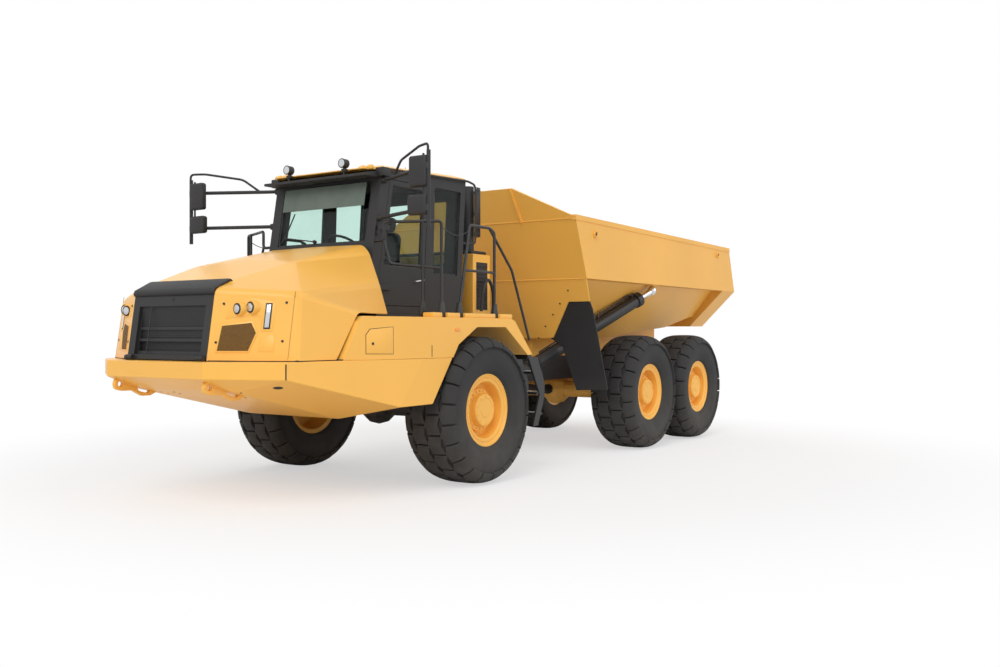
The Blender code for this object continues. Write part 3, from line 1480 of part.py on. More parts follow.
def build_grille():
    """The black grille: a deep leaning frame, its bars and the hood's hinge lugs."""
    corner = Vector((HOOD_SIDE - GRILLE_HALF_WIDTH, HOOD_CORNER - HOOD_FRONT))
    edge = GRILLE_HALF_WIDTH - HOOD_WALL * corner.y / corner.length - GAP
    top = GRILLE_TOP - HOOD_WALL
    low = HOOD_BOTTOM + GRILLE_FRAME / 2
    high = top - GRILLE_HEAD
    inner = edge - GRILLE_FRAME
    solids = [grille_block(edge, HOOD_BOTTOM, top, 0, GRILLE_DEPTH)]
    for side in SIDES:
        near, far = side_span(edge - HOOD_HINGE_WIDTH, edge - WELD, side)
        solids.append(
            rod(
                (near, HOOD_HINGE_Y, HOOD_HINGE_Z),
                (far, HOOD_HINGE_Y, HOOD_HINGE_Z),
                HOOD_HINGE_Z - BUMPER_TOP - GAP,
                8,
            )
        )
    cuts = [grille_block(inner, low, high, -OVERRUN, OVERRUN + GRILLE_DEPTH / 2)]
    bars = [low + (high - low) * share for share in GRILLE_BAR_SHARES]
    for start, end in zip(bars, bars[1:]):
        cuts.append(
            grille_block(
                inner - WELD,
                start + GRILLE_BAR / 2,
                end - GRILLE_BAR / 2,
                GRILLE_DEPTH / 4,
                GRILLE_DEPTH,
            )
        )
    add_node("grille", fused(solids, cuts), "hood", BLACK)


def cab_outline():
    """The cab's side profile."""
    return (
        (CAB_FRONT_FOOT, CAB_FLOOR),
        (CAB_FRONT, CAB_WAIST),
        (CAB_FRONT_TOP, CAB_TOP_FRONT),
        (CAB_REAR_TOP, CAB_TOP_REAR),
        (CAB_REAR, CAB_FLOOR),
    )


def door_outline():
    """The door opening in the cab's side."""
    return spread(DOOR_OUTLINE_SHARES, (DOOR_FRONT, DOOR_BOTTOM), (DOOR_LENGTH, DOOR_TOP - DOOR_BOTTOM))


def quarter_outline():
    """The window behind the door."""
    return spread(
        QUARTER_OUTLINE_SHARES,
        (QUARTER_FRONT, QUARTER_BOTTOM),
        (QUARTER_LENGTH, QUARTER_TOP - QUARTER_BOTTOM),
    )


def door_window():
    """The window in the door, and in the same place on the other side."""
    front_low, front_top, rear_top, rear_low = door_outline()[1:5]
    sill = DOOR_BOTTOM + DOOR_SILL
    outline = (
        (between(front_low, front_top, sill), sill),
        front_top,
        rear_top,
        (between(rear_low, rear_top, sill), sill),
    )
    return inset(outline, DOOR_FRAME)


def build_cab_shell():
    """The cab's hollow shell with its window and door openings."""
    outline = cab_outline()
    room = inset(outline, CAB_WALL)
    shell = prism(outline, "X", -CAB_HALF_WIDTH, CAB_HALF_WIDTH)
    inner = CAB_HALF_WIDTH - CAB_WALL
    cuts = [prism(room, "X", -inner, inner)]
    cuts.append(
        box(
            (-SCREEN_HALF_WIDTH, CAB_FRONT - OVERRUN, SCREEN_BOTTOM),
            (SCREEN_HALF_WIDTH, CAB_FRONT_TOP + CAB_WALL * 2, SCREEN_TOP),
        )
    )
    cuts.append(
        box(
            (-REAR_WINDOW_HALF_WIDTH, CAB_REAR - CAB_WALL, REAR_WINDOW_BOTTOM),
            (REAR_WINDOW_HALF_WIDTH, CAB_REAR_TOP + OVERRUN, REAR_WINDOW_TOP),
        )
    )
    wall = (inner - WELD, CAB_HALF_WIDTH + OVERRUN)
    cuts.append(prism(door_outline(), "X", *wall))
    cuts.append(prism(door_window(), "X", -wall[1], -wall[0]))
    for side in SIDES:
        low, high = side_span(*wall, side)
        cuts.append(prism(quarter_outline(), "X", low, high))
    solids = [shell]
    hinge_x = CAB_HALF_WIDTH + DOOR_HINGE_OFFSET
    for z in DOOR_KNUCKLE_HEIGHTS:
        solids.append(
            rod(
                (hinge_x, DOOR_HINGE_Y, z),
                (hinge_x, DOOR_HINGE_Y, z + DOOR_KNUCKLE),
                DOOR_KNUCKLE_RADIUS,
            )
        )
        solids.append(
            box(
                (CAB_HALF_WIDTH - WELD, DOOR_HINGE_Y - DOOR_KNUCKLE_RADIUS, z),
                (hinge_x, DOOR_HINGE_Y + DOOR_KNUCKLE_RADIUS / 2, z + DOOR_KNUCKLE),
            )
        )
    add_node("cab_shell", fused(solids, cuts), "tractor", BLACK)


def build_door():
    """The door with its window opening and hinge knuckles, and its pane."""
    hinge_x = CAB_HALF_WIDTH + DOOR_HINGE_OFFSET
    add_body("door", "tractor", (hinge_x, DOOR_HINGE_Y, DOOR_BOTTOM))
    panel = prism(
        inset(door_outline(), RUNNING_GAP), "X", CAB_HALF_WIDTH - CAB_WALL, CAB_HALF_WIDTH
    )
    opening = prism(
        door_window(), "X", CAB_HALF_WIDTH - CAB_WALL - OVERRUN, CAB_HALF_WIDTH + OVERRUN
    )
    solids = [panel]
    for z in DOOR_KNUCKLE_HEIGHTS:
        low = z + DOOR_KNUCKLE + GAP
        high = low + DOOR_KNUCKLE
        solids.append(
            rod((hinge_x, DOOR_HINGE_Y, low), (hinge_x, DOOR_HINGE_Y, high), DOOR_KNUCKLE_RADIUS)
        )
        solids.append(
            box(
                (hinge_x - DOOR_KNUCKLE_RADIUS / 2, DOOR_HINGE_Y, low),
                (hinge_x + DOOR_KNUCKLE_RADIUS / 2, DOOR_FRONT + DOOR_STRAP, high),
            )
        )
        solids.append(
            box(
                (CAB_HALF_WIDTH - WELD, DOOR_FRONT + DOOR_STRAP - DOOR_STRAP_PAD, low),
                (hinge_x, DOOR_FRONT + DOOR_STRAP, high),
            )
        )
    add_node("door", fused(solids, [opening]), "door", BLACK)
    middle = CAB_HALF_WIDTH - CAB_WALL / 2
    pane = prism(inset(door_window(), GAP), "X", middle - PANE / 2, middle + PANE / 2)
    add_node("door_glass", pane, "door", GLASS)


def wall_pane(low_point, high_point, low_z, high_z, depth, half_width):
    """A pane along a sloping wall of the cab."""
    outline = []
    for z in (low_z + GAP, high_z - GAP):
        y = between(low_point, high_point, z) + depth
        outline.append((y - PANE / 2, z))
        outline.append((y + PANE / 2, z))
    order = (outline[0], outline[1], outline[3], outline[2])
    return prism(order, "X", -half_width + GAP, half_width - GAP)


def build_windows():
    """The fixed panes of the cab."""
    outline = cab_outline()
    screen = wall_pane(
        outline[1], outline[2], SCREEN_BOTTOM, SCREEN_TOP, CAB_WALL / 2, SCREEN_HALF_WIDTH
    )
    add_node("windscreen", screen, "tractor", GLASS)
    rear = wall_pane(
        outline[4],
        outline[3],
        REAR_WINDOW_BOTTOM,
        REAR_WINDOW_TOP,
        -CAB_WALL / 2,
        REAR_WINDOW_HALF_WIDTH,
    )
    add_node("window_rear", rear, "tractor", GLASS)
    middle = CAB_HALF_WIDTH - CAB_WALL / 2
    for side in SIDES:
        low, high = side_span(middle - PANE / 2, middle + PANE / 2, side)
        pane = prism(inset(quarter_outline(), GAP), "X", low, high)
        add_node(f"window_quarter_{side.name}", pane, "tractor", GLASS)
    pane = prism(inset(door_window(), GAP), "X", -middle - PANE / 2, -middle + PANE / 2)
    add_node("window_right", pane, "tractor", GLASS)


def build_roof():
    """The roof cap, and the sun visor with the two work lamps above it."""
    outline = cab_outline()
    front, rear = Vector(outline[2]), Vector(outline[3])
    points = []
    for x in (-CAB_HALF_WIDTH, CAB_HALF_WIDTH):
        for y, z in (front, rear):
            points.append((x, y, z + GAP))
            points.append((x, y, z + ROOF_HEIGHT / 2))
            inner_x = x - ROOF_INSET if x > 0 else x + ROOF_INSET
            inner_y = y + ROOF_INSET if y < 0 else y - ROOF_INSET
            points.append((inner_x, inner_y, z + ROOF_HEIGHT))
    for x in (-ROOF_NOSE_HALF_WIDTH, ROOF_NOSE_HALF_WIDTH):
        for z in (front.y + GAP, front.y + ROOF_NOSE_HEIGHT):
            points.append((x, front.x - ROOF_NOSE, z))
    add_node("cab_roof", hull(points), "tractor", YELLOW)
    wall_y = between(outline[1], outline[2], SCREEN_TOP + VISOR_THICKNESS) - GAP
    top_y = between(outline[1], outline[2], CAB_TOP_FRONT - WELD) - GAP
    profile = (
        (VISOR_FRONT, SCREEN_TOP + VISOR_THICKNESS),
        (wall_y, SCREEN_TOP + VISOR_THICKNESS),
        (top_y, CAB_TOP_FRONT - WELD),
        (VISOR_FRONT, SCREEN_TOP + VISOR_THICKNESS * 2),
    )
    solids = [prism(profile, "X", -VISOR_HALF_WIDTH, VISOR_HALF_WIDTH)]
    for side in SIDES:
        x = side.sign * WORK_LAMP_X
        solids.append(
            rod(
                (x, WORK_LAMP_Y, SCREEN_TOP + VISOR_THICKNESS),
                (x, WORK_LAMP_Y, WORK_LAMP_Z),
                WORK_LAMP_RADIUS / 4,
                8,
            )
        )
        solids.append(
            rod(
                (x, WORK_LAMP_Y - WORK_LAMP_DEPTH / 2, WORK_LAMP_Z),
                (x, WORK_LAMP_Y + WORK_LAMP_DEPTH / 2, WORK_LAMP_Z),
                WORK_LAMP_RADIUS,
                12,
            )
        )
    add_node("visor", fused(solids), "tractor", BLACK)


def build_cab_inside():
    """The operator's seat, and the dash with the steering wheel."""
    floor = CAB_FLOOR + CAB_WALL + GAP
    back_y = SEAT_Y + SEAT_DEPTH / 2
    seat = fused(
        [
            box(
                (-SEAT_POST, SEAT_Y - SEAT_POST, floor),
                (SEAT_POST, SEAT_Y + SEAT_POST, SEAT_CUSHION_TOP - SEAT_CUSHION + WELD),
            ),
            box(
                (-SEAT_HALF_WIDTH, SEAT_Y - SEAT_DEPTH / 2, SEAT_CUSHION_TOP - SEAT_CUSHION),
                (SEAT_HALF_WIDTH, back_y, SEAT_CUSHION_TOP),
            ),
            prism(
                (
                    (back_y - SEAT_CUSHION, SEAT_CUSHION_TOP - WELD),
                    (back_y, SEAT_CUSHION_TOP - WELD),
                    (back_y + SEAT_CUSHION, SEAT_BACK_TOP),
                    (back_y, SEAT_BACK_TOP),
                ),
                "X",
                -SEAT_HALF_WIDTH + WELD,
                SEAT_HALF_WIDTH - WELD,
            ),
        ]
    )
    add_node("seat", seat, "tractor", CLOTH)
    dash_front = CAB_FRONT_FOOT + CAB_WALL + DOOR_FRAME
    hub = Vector((0, STEERING_WHEEL_Y, STEERING_WHEEL_Z))
    foot = Vector((0, dash_front + DASH_DEPTH / 2, DASH_TOP - DASH_DEPTH / 2))
    line = (hub - foot).normalized()
    ring = [
        (
            STEERING_WHEEL_RADIUS + STEERING_WHEEL_RIM * cos(2 * pi * i / 6),
            STEERING_WHEEL_RIM * sin(2 * pi * i / 6),
        )
        for i in range(6)
    ]
    wheel = turned(ring, 16)
    turn = line.to_track_quat("X", "Z").to_matrix().to_4x4()
    bmesh.ops.transform(wheel, matrix=Matrix.Translation(hub) @ turn, verts=wheel.verts)
    spoke = turn.to_3x3() @ Vector((0, STEERING_WHEEL_RADIUS, 0))
    solids = [
        box(
            (-DASH_HALF_WIDTH, dash_front, floor),
            (DASH_HALF_WIDTH, dash_front + DASH_DEPTH, DASH_TOP),
        ),
        rod(foot, hub + line * WELD, COLUMN_RADIUS),
        rod(hub - spoke, hub + spoke, STEERING_WHEEL_RIM * 0.8, 6),
        wheel,
    ]
    add_node("controls", fused(solids), "tractor", CLOTH)


def build_mirrors():
    """The mirror frames, each with two arms, an upright bar and two heads."""
    for side in SIDES:
        bar_top = Vector((MIRROR_X, MIRROR_Y, MIRROR_BAR_TOP))
        bar_low = Vector((MIRROR_X, MIRROR_Y, MIRROR_BAR_BOTTOM))
        solids = [rod(mirrored(bar_low, side), mirrored(bar_top, side), MIRROR_TUBE * 1.1, 10)]
        outline = cab_outline()
        for z in (MIRROR_UPPER_ARM_Z, MIRROR_LOWER_ARM_Z):
            foot_y = between(outline[1], outline[2], z) + CAB_WALL
            foot = Vector((CAB_HALF_WIDTH + GAP, foot_y, z))
            elbow = Vector((CAB_HALF_WIDTH + CAB_WALL, foot_y, z))
            tip = Vector((MIRROR_X, MIRROR_Y, z))
            solids.append(rod(mirrored(foot, side), mirrored(elbow, side), MIRROR_TUBE * 1.8, 10))
            solids.append(
                rod(
                    mirrored(foot.lerp(elbow, 0.5), side),
                    mirrored(tip, side),
                    MIRROR_TUBE,
                    10,
                )
            )
        for low, high in (
            (MIRROR_LARGE_BOTTOM, MIRROR_LARGE_TOP),
            (MIRROR_SMALL_BOTTOM, MIRROR_SMALL_TOP),
        ):
            left, right = side_span(
                MIRROR_X - MIRROR_HEAD_WIDTH, MIRROR_X - MIRROR_TUBE / 2, side
            )
            solids.append(
                box(
                    (left, MIRROR_Y - MIRROR_HEAD_DEPTH / 2, low),
                    (right, MIRROR_Y + MIRROR_HEAD_DEPTH / 2, high),
                )
            )
        add_node(f"mirror_{side.name}", fused(solids), "tractor", BLACK)


def rail_lines():
    """The left handrail's tubes: a share of the tube's radius, and a chain of points."""
    foot = FENDER_DECK + GAP
    bracket = (CAB_HALF_WIDTH + GAP, RAIL_FRONT_Y, RAIL_BRACKET_Z)
    front = (RAIL_BRACKET_X, RAIL_FRONT_Y, RAIL_BRACKET_Z)
    front_top = (RAIL_BRACKET_X, RAIL_FRONT_Y, RAIL_TOP_Z)
    corner_top = (RAIL_X, RAIL_CORNER_Y, RAIL_TOP_Z)
    gate_foot = (RAIL_X, RAIL_GATE_LOW_Y, foot + RAIL_TUBE * 4)
    gate_top = (RAIL_X, RAIL_GATE_TOP_Y, RAIL_TOP_Z)
    gate_middle = (RAIL_X, between(gate_foot[1:], gate_top[1:], RAIL_MIDDLE_Z), RAIL_MIDDLE_Z)
    bend = (RAIL_X, RAIL_REAR_BEND_Y, RAIL_TOP_Z)
    return (
        (1, (bracket, front, front_top, corner_top, (RAIL_X, RAIL_CORNER_Y, foot))),
        (
            0.88,
            (front, (RAIL_KNEE_X, RAIL_KNEE_Y, RAIL_KNEE_Z), (RAIL_X, RAIL_CORNER_Y, RAIL_MIDDLE_Z)),
        ),
        (0.94, ((RAIL_POST_X, RAIL_POST_Y, foot), (RAIL_POST_X, RAIL_POST_Y, RAIL_TOP_Z))),
        (
            0.82,
            ((RAIL_X, RAIL_CORNER_Y, foot + RAIL_TUBE), (RAIL_X, RAIL_REAR_Y, foot + RAIL_TUBE)),
        ),
        (
            1,
            (
                (RAIL_X, RAIL_GATE_LOW_Y, foot),
                gate_foot,
                gate_top,
                bend,
                (RAIL_X, RAIL_REAR_Y, RAIL_REAR_BEND_Z),
                (RAIL_X, RAIL_REAR_Y, foot),
            ),
        ),
        (0.88, (gate_middle, (RAIL_X, RAIL_REAR_Y, RAIL_MIDDLE_Z))),
        (
            0.94,
            (
                bend,
                (RAIL_X, RAIL_LONG_KNEE_Y, RAIL_LONG_KNEE_Z),
                (RAIL_X, RAIL_LONG_END_Y, RAIL_LONG_END_Z),
            ),
        ),
    )


def build_handrails():
    """The rails around the walkway beside the cab."""
    for side in SIDES:
        solids = []
        for share, line in rail_lines():
            points = [mirrored(point, side) for point in line]
            for start, end in zip(points, points[1:]):
                solids.append(rod(start, end, RAIL_TUBE * share, 6))
        add_node(f"handrail_{side.name}", fused(solids), "tractor", BLACK)


def build_ladder():
    """The steps behind the left front wheel, hung from the fender's tail."""
    outline = spread(
        LADDER_OUTLINE_SHARES,
        (LADDER_TOP_Y, LADDER_BOTTOM),
        (LADDER_REACH, LADDER_TOP - LADDER_BOTTOM),
    )
    solids = [
        prism(outline, "X", LADDER_INNER, LADDER_INNER + LADDER_PLATE),
        prism(outline, "X", LADDER_OUTER - LADDER_PLATE, LADDER_OUTER),
    ]
    for i in range(LADDER_STEPS):
        share = (i + 0.5) / LADDER_STEPS
        z = LADDER_BOTTOM + (LADDER_TOP - LADDER_BOTTOM) * share * 0.9
        y = LADDER_TOP_Y + LADDER_REACH * LADDER_STEP_PLACE_SHARE
        half = LADDER_REACH * LADDER_STEP_SHARE
        solids.append(
            box(
                (LADDER_INNER + WELD, y - half, z),
                (LADDER_OUTER - WELD, y + half, z + LADDER_PLATE),
            )
        )
    solids.append(
        box(
            (LADDER_INNER + WELD, FENDER_REAR - OVERRUN, LADDER_TOP - LADDER_PLATE),
            (LADDER_OUTER - WELD, FENDER_REAR + OVERRUN, FENDER_FOOT - GAP),
        )
    )
    add_node("ladder", fused(solids), "tractor", BLACK)


def build_exhaust():
    """The box behind the cab, and the exhaust stack with its curved guard."""
    rear = EXHAUST_FRONT + EXHAUST_DEPTH
    body = box(
        (-EXHAUST_HALF_WIDTH, EXHAUST_FRONT, PLATFORM_TOP + GAP),
        (EXHAUST_HALF_WIDTH, rear, EXHAUST_TOP),
    )
    add_node("exhaust_box", body, "tractor", YELLOW)
    y = EXHAUST_FRONT + EXHAUST_DEPTH / 2
    foot = EXHAUST_TOP + GAP
    guard = rod((STACK_X, y, GUARD_BOTTOM), (STACK_X, y, GUARD_TOP), GUARD_RADIUS, 16)
    hollow = rod(
        (STACK_X, y, GUARD_BOTTOM + GUARD_WALL),
        (STACK_X, y, GUARD_TOP + OVERRUN),
        GUARD_RADIUS - GUARD_WALL,
        16,
    )
    front_cut = box(
        (STACK_X - 2 * GUARD_RADIUS, y - 2 * GUARD_RADIUS, GUARD_BOTTOM + GUARD_FOOT),
        (STACK_X + 2 * GUARD_RADIUS, y - GUARD_RADIUS * 0.3, GUARD_TOP + OVERRUN),
    )
    solids = [
        fused([guard], [hollow, front_cut]),
        rod((STACK_X, y, foot), (STACK_X, y, STACK_TOP), STACK_RADIUS, 16),
    ]
    add_node("exhaust_stack", fused(solids), "tractor", BLACK)


def build():
    """The whole truck."""
    clear_scene()
    add_body("tractor", None, (0, 0, 0))
    add_body("hitch", "tractor", (0, HITCH_Y, HITCH_Z))
    add_body("trailer", "hitch", (0, HITCH_Y, HITCH_Z))
    build_wheels()
    build_front_axle()
    build_rear_axles()
    build_front_frame()
    build_hitch()
    build_rear_frame()
    build_walking_beams()
    build_drive_shaft()
    build_steering_cylinders()
    build_hoist_cylinders()
    build_bed()
    build_bumper()
    build_fenders()
    build_engine()
    build_hood()
    build_grille()
    build_cab_shell()
    build_door()
    build_windows()
    build_roof()
    build_cab_inside()
    build_mirrors()
    build_handrails()
    build_ladder()
    build_exhaust()


build()
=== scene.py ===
"""Finishes, fine detail, lights and camera around the dump truck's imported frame."""

import json
from math import cos, radians, sin, tau

import bmesh
import bpy
from mathutils import Matrix, Vector
from mathutils.bvhtree import BVHTree


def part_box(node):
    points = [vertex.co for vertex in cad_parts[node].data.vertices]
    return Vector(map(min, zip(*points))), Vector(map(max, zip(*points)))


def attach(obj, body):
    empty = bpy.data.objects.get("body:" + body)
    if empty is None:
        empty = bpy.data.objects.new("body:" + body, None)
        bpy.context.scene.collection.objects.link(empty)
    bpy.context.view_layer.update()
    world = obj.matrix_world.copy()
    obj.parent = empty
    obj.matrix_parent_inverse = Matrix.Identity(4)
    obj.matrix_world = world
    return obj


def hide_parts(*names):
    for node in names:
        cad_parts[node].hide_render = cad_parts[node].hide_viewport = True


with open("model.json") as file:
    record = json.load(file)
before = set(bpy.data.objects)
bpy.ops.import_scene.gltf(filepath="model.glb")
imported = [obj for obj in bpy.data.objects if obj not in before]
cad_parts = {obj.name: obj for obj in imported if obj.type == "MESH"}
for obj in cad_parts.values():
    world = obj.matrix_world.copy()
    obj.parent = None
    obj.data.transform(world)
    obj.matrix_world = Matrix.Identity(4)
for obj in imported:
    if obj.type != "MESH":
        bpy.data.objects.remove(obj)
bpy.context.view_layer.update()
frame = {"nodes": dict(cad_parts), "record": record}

bl_info = {
    "name": "Articulated Dump Truck",
    "version": (1, 0, 0),
    "blender": (4, 5, 0),
    "location": "View3D > Sidebar > Truck",
    "description": "Dresses the packed frame of an articulated dump truck",
    "category": "Add Mesh",
}

# The photograph's view
IMAGE_WIDTH = 1000
IMAGE_HEIGHT = 667
CAMERA_PLACE = Vector((8.526, -12.2135, 1.821))
CAMERA_TURN = (radians(89.922), 0, radians(33.993))
CAMERA_LENS = 35.95
CAMERA_SENSOR = 36.0

SIDES = (("left", 1), ("right", -1))
# Points closer than this are one
MERGE = 0.0001
# From the front axle back to the frame's origin
MIDDLE = 2.3665

WHEELS = tuple(f"{axle}_{side}" for axle in ("front", "middle", "rear") for side, _ in SIDES)
# CAD nodes by the finish that they take
NODE_FINISHES = {
    "body_paint": ("hood", "bumper", "fender_left", "fender_right", "cab_roof", "exhaust_box"),
    "bed_paint": ("bed",),
    "cast_paint": (
        "middle_axle",
        "rear_axle",
        "walking_beam_left",
        "walking_beam_right",
        *(f"rim_{wheel}" for wheel in WHEELS),
    ),
    "black_plastic": ("cab_shell", "door", "visor", "grille", "ladder"),
    "black_casting": (
        *("front_axle", "front_frame", "engine_block", "hitch", "rear_frame", "drive_shaft"),
        *("steering_barrel_left", "steering_barrel_right", "hoist_barrel_left"),
        *("hoist_barrel_right", "exhaust_stack", "handrail_left", "handrail_right"),
        *("mirror_left", "mirror_right"),
    ),
    "pane_glass": (
        *("windscreen", "window_rear", "window_quarter_left", "window_quarter_right"),
        *("window_right", "door_glass"),
    ),
    "polished_rod": (
        *("steering_rod_left", "steering_rod_right", "hoist_rod_left", "hoist_rod_right"),
    ),
    "flap_sheet": ("mud_flap_left", "mud_flap_right"),
    "seat_cloth": ("seat", "controls"),
    "tyre_rubber": tuple(f"tyre_{wheel}" for wheel in WHEELS),
}


def length(name, description, default):
    """A size that a user may change, in metres."""
    return bpy.props.FloatProperty(
        name=name, description=description, default=default, min=0, unit="LENGTH"
    )


def colour(name, description, default):
    """A colour that a user may change."""
    return bpy.props.FloatVectorProperty(
        name=name, description=description, default=default, size=3, subtype="COLOR", min=0, max=1
    )


class TruckSizes(bpy.types.PropertyGroup):
    """Sizes of the fine detail."""

    edge: length("Panel edge", "Rounding of the body panels' edges", 0.012)
    hood_edge: length("Hood edge", "Rounding of the hood's edges", 0.045)
    trim_edge: length("Trim edge", "Rounding of black trim", 0.006)
    tread_height: length("Tread height", "Height of a tread block", 0.034)
    tread_groove: length("Tread groove", "Width of the groove between two blocks", 0.022)


class TruckColours(bpy.types.PropertyGroup):
    """Colours of the finishes."""

    yellow: colour("Body yellow", "Paint of the body and rims", (0.95, 0.5, 0.085))
    ochre: colour("Bed yellow", "Paint of the bed", (0.9, 0.47, 0.08))
    black: colour("Trim black", "Satin black trim", (0.018, 0.018, 0.019))
    rubber: colour("Rubber", "Tyres and mud flaps", (0.02, 0.02, 0.021))
    glass: colour("Glass tint", "Window glass", (0.62, 0.74, 0.7))
    steel: colour("Bright steel", "Cylinder rods", (0.75, 0.75, 0.76))
    lens: colour("Lens", "Lamp lenses", (0.6, 0.62, 0.64))
    amber: colour("Amber", "Marker lamps", (0.9, 0.3, 0.02))
    cloth: colour("Seat cloth", "Operator's seat", (0.045, 0.046, 0.05))
    blind: colour("Blind", "Sun blind behind the windscreen", (0.13, 0.17, 0.15))
    seam: colour("Seam", "Shadow line between two panels", (0.3, 0.15, 0.025))
    floor: colour("Floor", "Studio floor", (0.9, 0.9, 0.9))


def connect(tree, sockets, values):
    """Links or sets input sockets by their names."""
    for key, value in values.items():
        if isinstance(value, bpy.types.NodeSocket):
            tree.links.new(value, sockets[key])
        else:
            sockets[key].default_value = value


def wire(tree, kind, values, **settings):
    """Adds a shader node with its settings, values and links."""
    node = tree.nodes.new(kind)
    for key, value in settings.items():
        setattr(node, key, value)
    connect(tree, node.inputs, values)
    return node


def textured(tree, kind, **values):
    """A texture over the surface's own places, with its sockets' values."""
    place = wire(tree, "ShaderNodeTexCoord", {}).outputs["Object"]
    return wire(tree, f"ShaderNodeTex{kind}", {"Vector": place, **values}).outputs


def remap(tree, value, ends, **settings):
    """A value spread between new ends."""
    values = {"Value": value, **ends}
    return wire(tree, "ShaderNodeMapRange", values, **settings).outputs["Result"]


def sums(tree, operation, first, second):
    """The result of a sum on two values."""
    return wire(tree, "ShaderNodeMath", {0: first, 1: second}, operation=operation).outputs[0]


def mixed(tree, share, first, second):
    """A mix of two colours."""
    return wire(tree, "ShaderNodeMix", {0: share, 6: first, 7: second}, data_type="RGBA").outputs[2]


def bump(tree, height, strength, distance):
    """A normal bumped by a height."""
    values = {"Height": height, "Strength": strength, "Distance": distance}
    return wire(tree, "ShaderNodeBump", values).outputs["Normal"]


def new_group(name, inputs, outputs):
    """A node group with named inputs and outputs."""
    tree = bpy.data.node_groups.new(name, "ShaderNodeTree")
    for socket, value in inputs.items():
        kind = "NodeSocketColor" if isinstance(value, tuple) else "NodeSocketFloat"
        tree.interface.new_socket(socket, in_out="INPUT", socket_type=kind).default_value = value
    for socket, kind in outputs.items():
        tree.interface.new_socket(socket, in_out="OUTPUT", socket_type=kind)
    return tree, tree.nodes.new("NodeGroupInput").outputs, tree.nodes.new("NodeGroupOutput").inputs


def tone_group():
    """Slow, faint change of tone over a surface."""
    tree, source, result = new_group(
        "Paint tone",
        {"Colour": (1, 1, 1, 1), "Scale": 1.0, "Amount": 0.05},
        {"Colour": "NodeSocketColor", "Mask": "NodeSocketFloat"},
    )
    cloud = textured(tree, "Noise", Scale=source["Scale"], Detail=4.0)["Fac"]
    shade = remap(tree, cloud, {"From Min": 0.3, "From Max": 0.7, "To Min": -1.0})
    value = sums(tree, "ADD", 1.0, sums(tree, "MULTIPLY", shade, source["Amount"]))
    tinted = wire(tree, "ShaderNodeHueSaturation", {"Value": value, "Color": source["Colour"]})
    connect(tree, result, {"Colour": tinted.outputs["Color"], "Mask": cloud})


def grain_group():
    """Fine grain, as orange peel in paint, cast iron or moulded plastic."""
    tree, source, result = new_group(
        "Fine grain",
        {"Scale": 200.0, "Strength": 0.1, "Distance": 0.001},
        {"Normal": "NodeSocketVector", "Mask": "NodeSocketFloat"},
    )
    grain = textured(tree, "Noise", Scale=source["Scale"], Detail=3.0)["Fac"]
    normal = bump(tree, grain, source["Strength"], source["Distance"])
    connect(tree, result, {"Normal": normal, "Mask": grain})


def dust_group():
    """Pale dust low down on the truck, broken up by noise."""
    tree, source, result = new_group(
        "Road dust",
        {"Colour": (1, 1, 1, 1), "Dust": (0.3, 0.26, 0.2, 1), "Top": 1.2, "Amount": 0.1},
        {"Colour": "NodeSocketColor", "Mask": "NodeSocketFloat"},
    )
    place = wire(tree, "ShaderNodeTexCoord", {}).outputs["Object"]
    parts = wire(tree, "ShaderNodeSeparateXYZ", {"Vector": place}).outputs
    ends = {"From Max": source["Top"], "To Min": 1.0, "To Max": 0.0}
    patches = textured(tree, "Noise", Scale=6.0, Detail=6.0)["Fac"]
    broken = sums(tree, "MULTIPLY", remap(tree, parts["Z"], ends), patches)
    mask = sums(tree, "MULTIPLY", broken, source["Amount"])
    dusty = mixed(tree, mask, source["Colour"], source["Dust"])
    connect(tree, result, {"Colour": dusty, "Mask": mask})


def shared(tree, group, **values):
    """Places a shared node group in a material."""
    return wire(tree, "ShaderNodeGroup", values, node_tree=bpy.data.node_groups[group]).outputs


def blank(name, roughness, metallic=0.0):
    """A material with only its Principled shader, and that shader's sockets."""
    material = bpy.data.materials.new(name)
    material.use_nodes = True
    shader = material.node_tree.nodes["Principled BSDF"].inputs
    shader["Roughness"].default_value = roughness
    shader["Metallic"].default_value = metallic
    return material, material.node_tree, shader


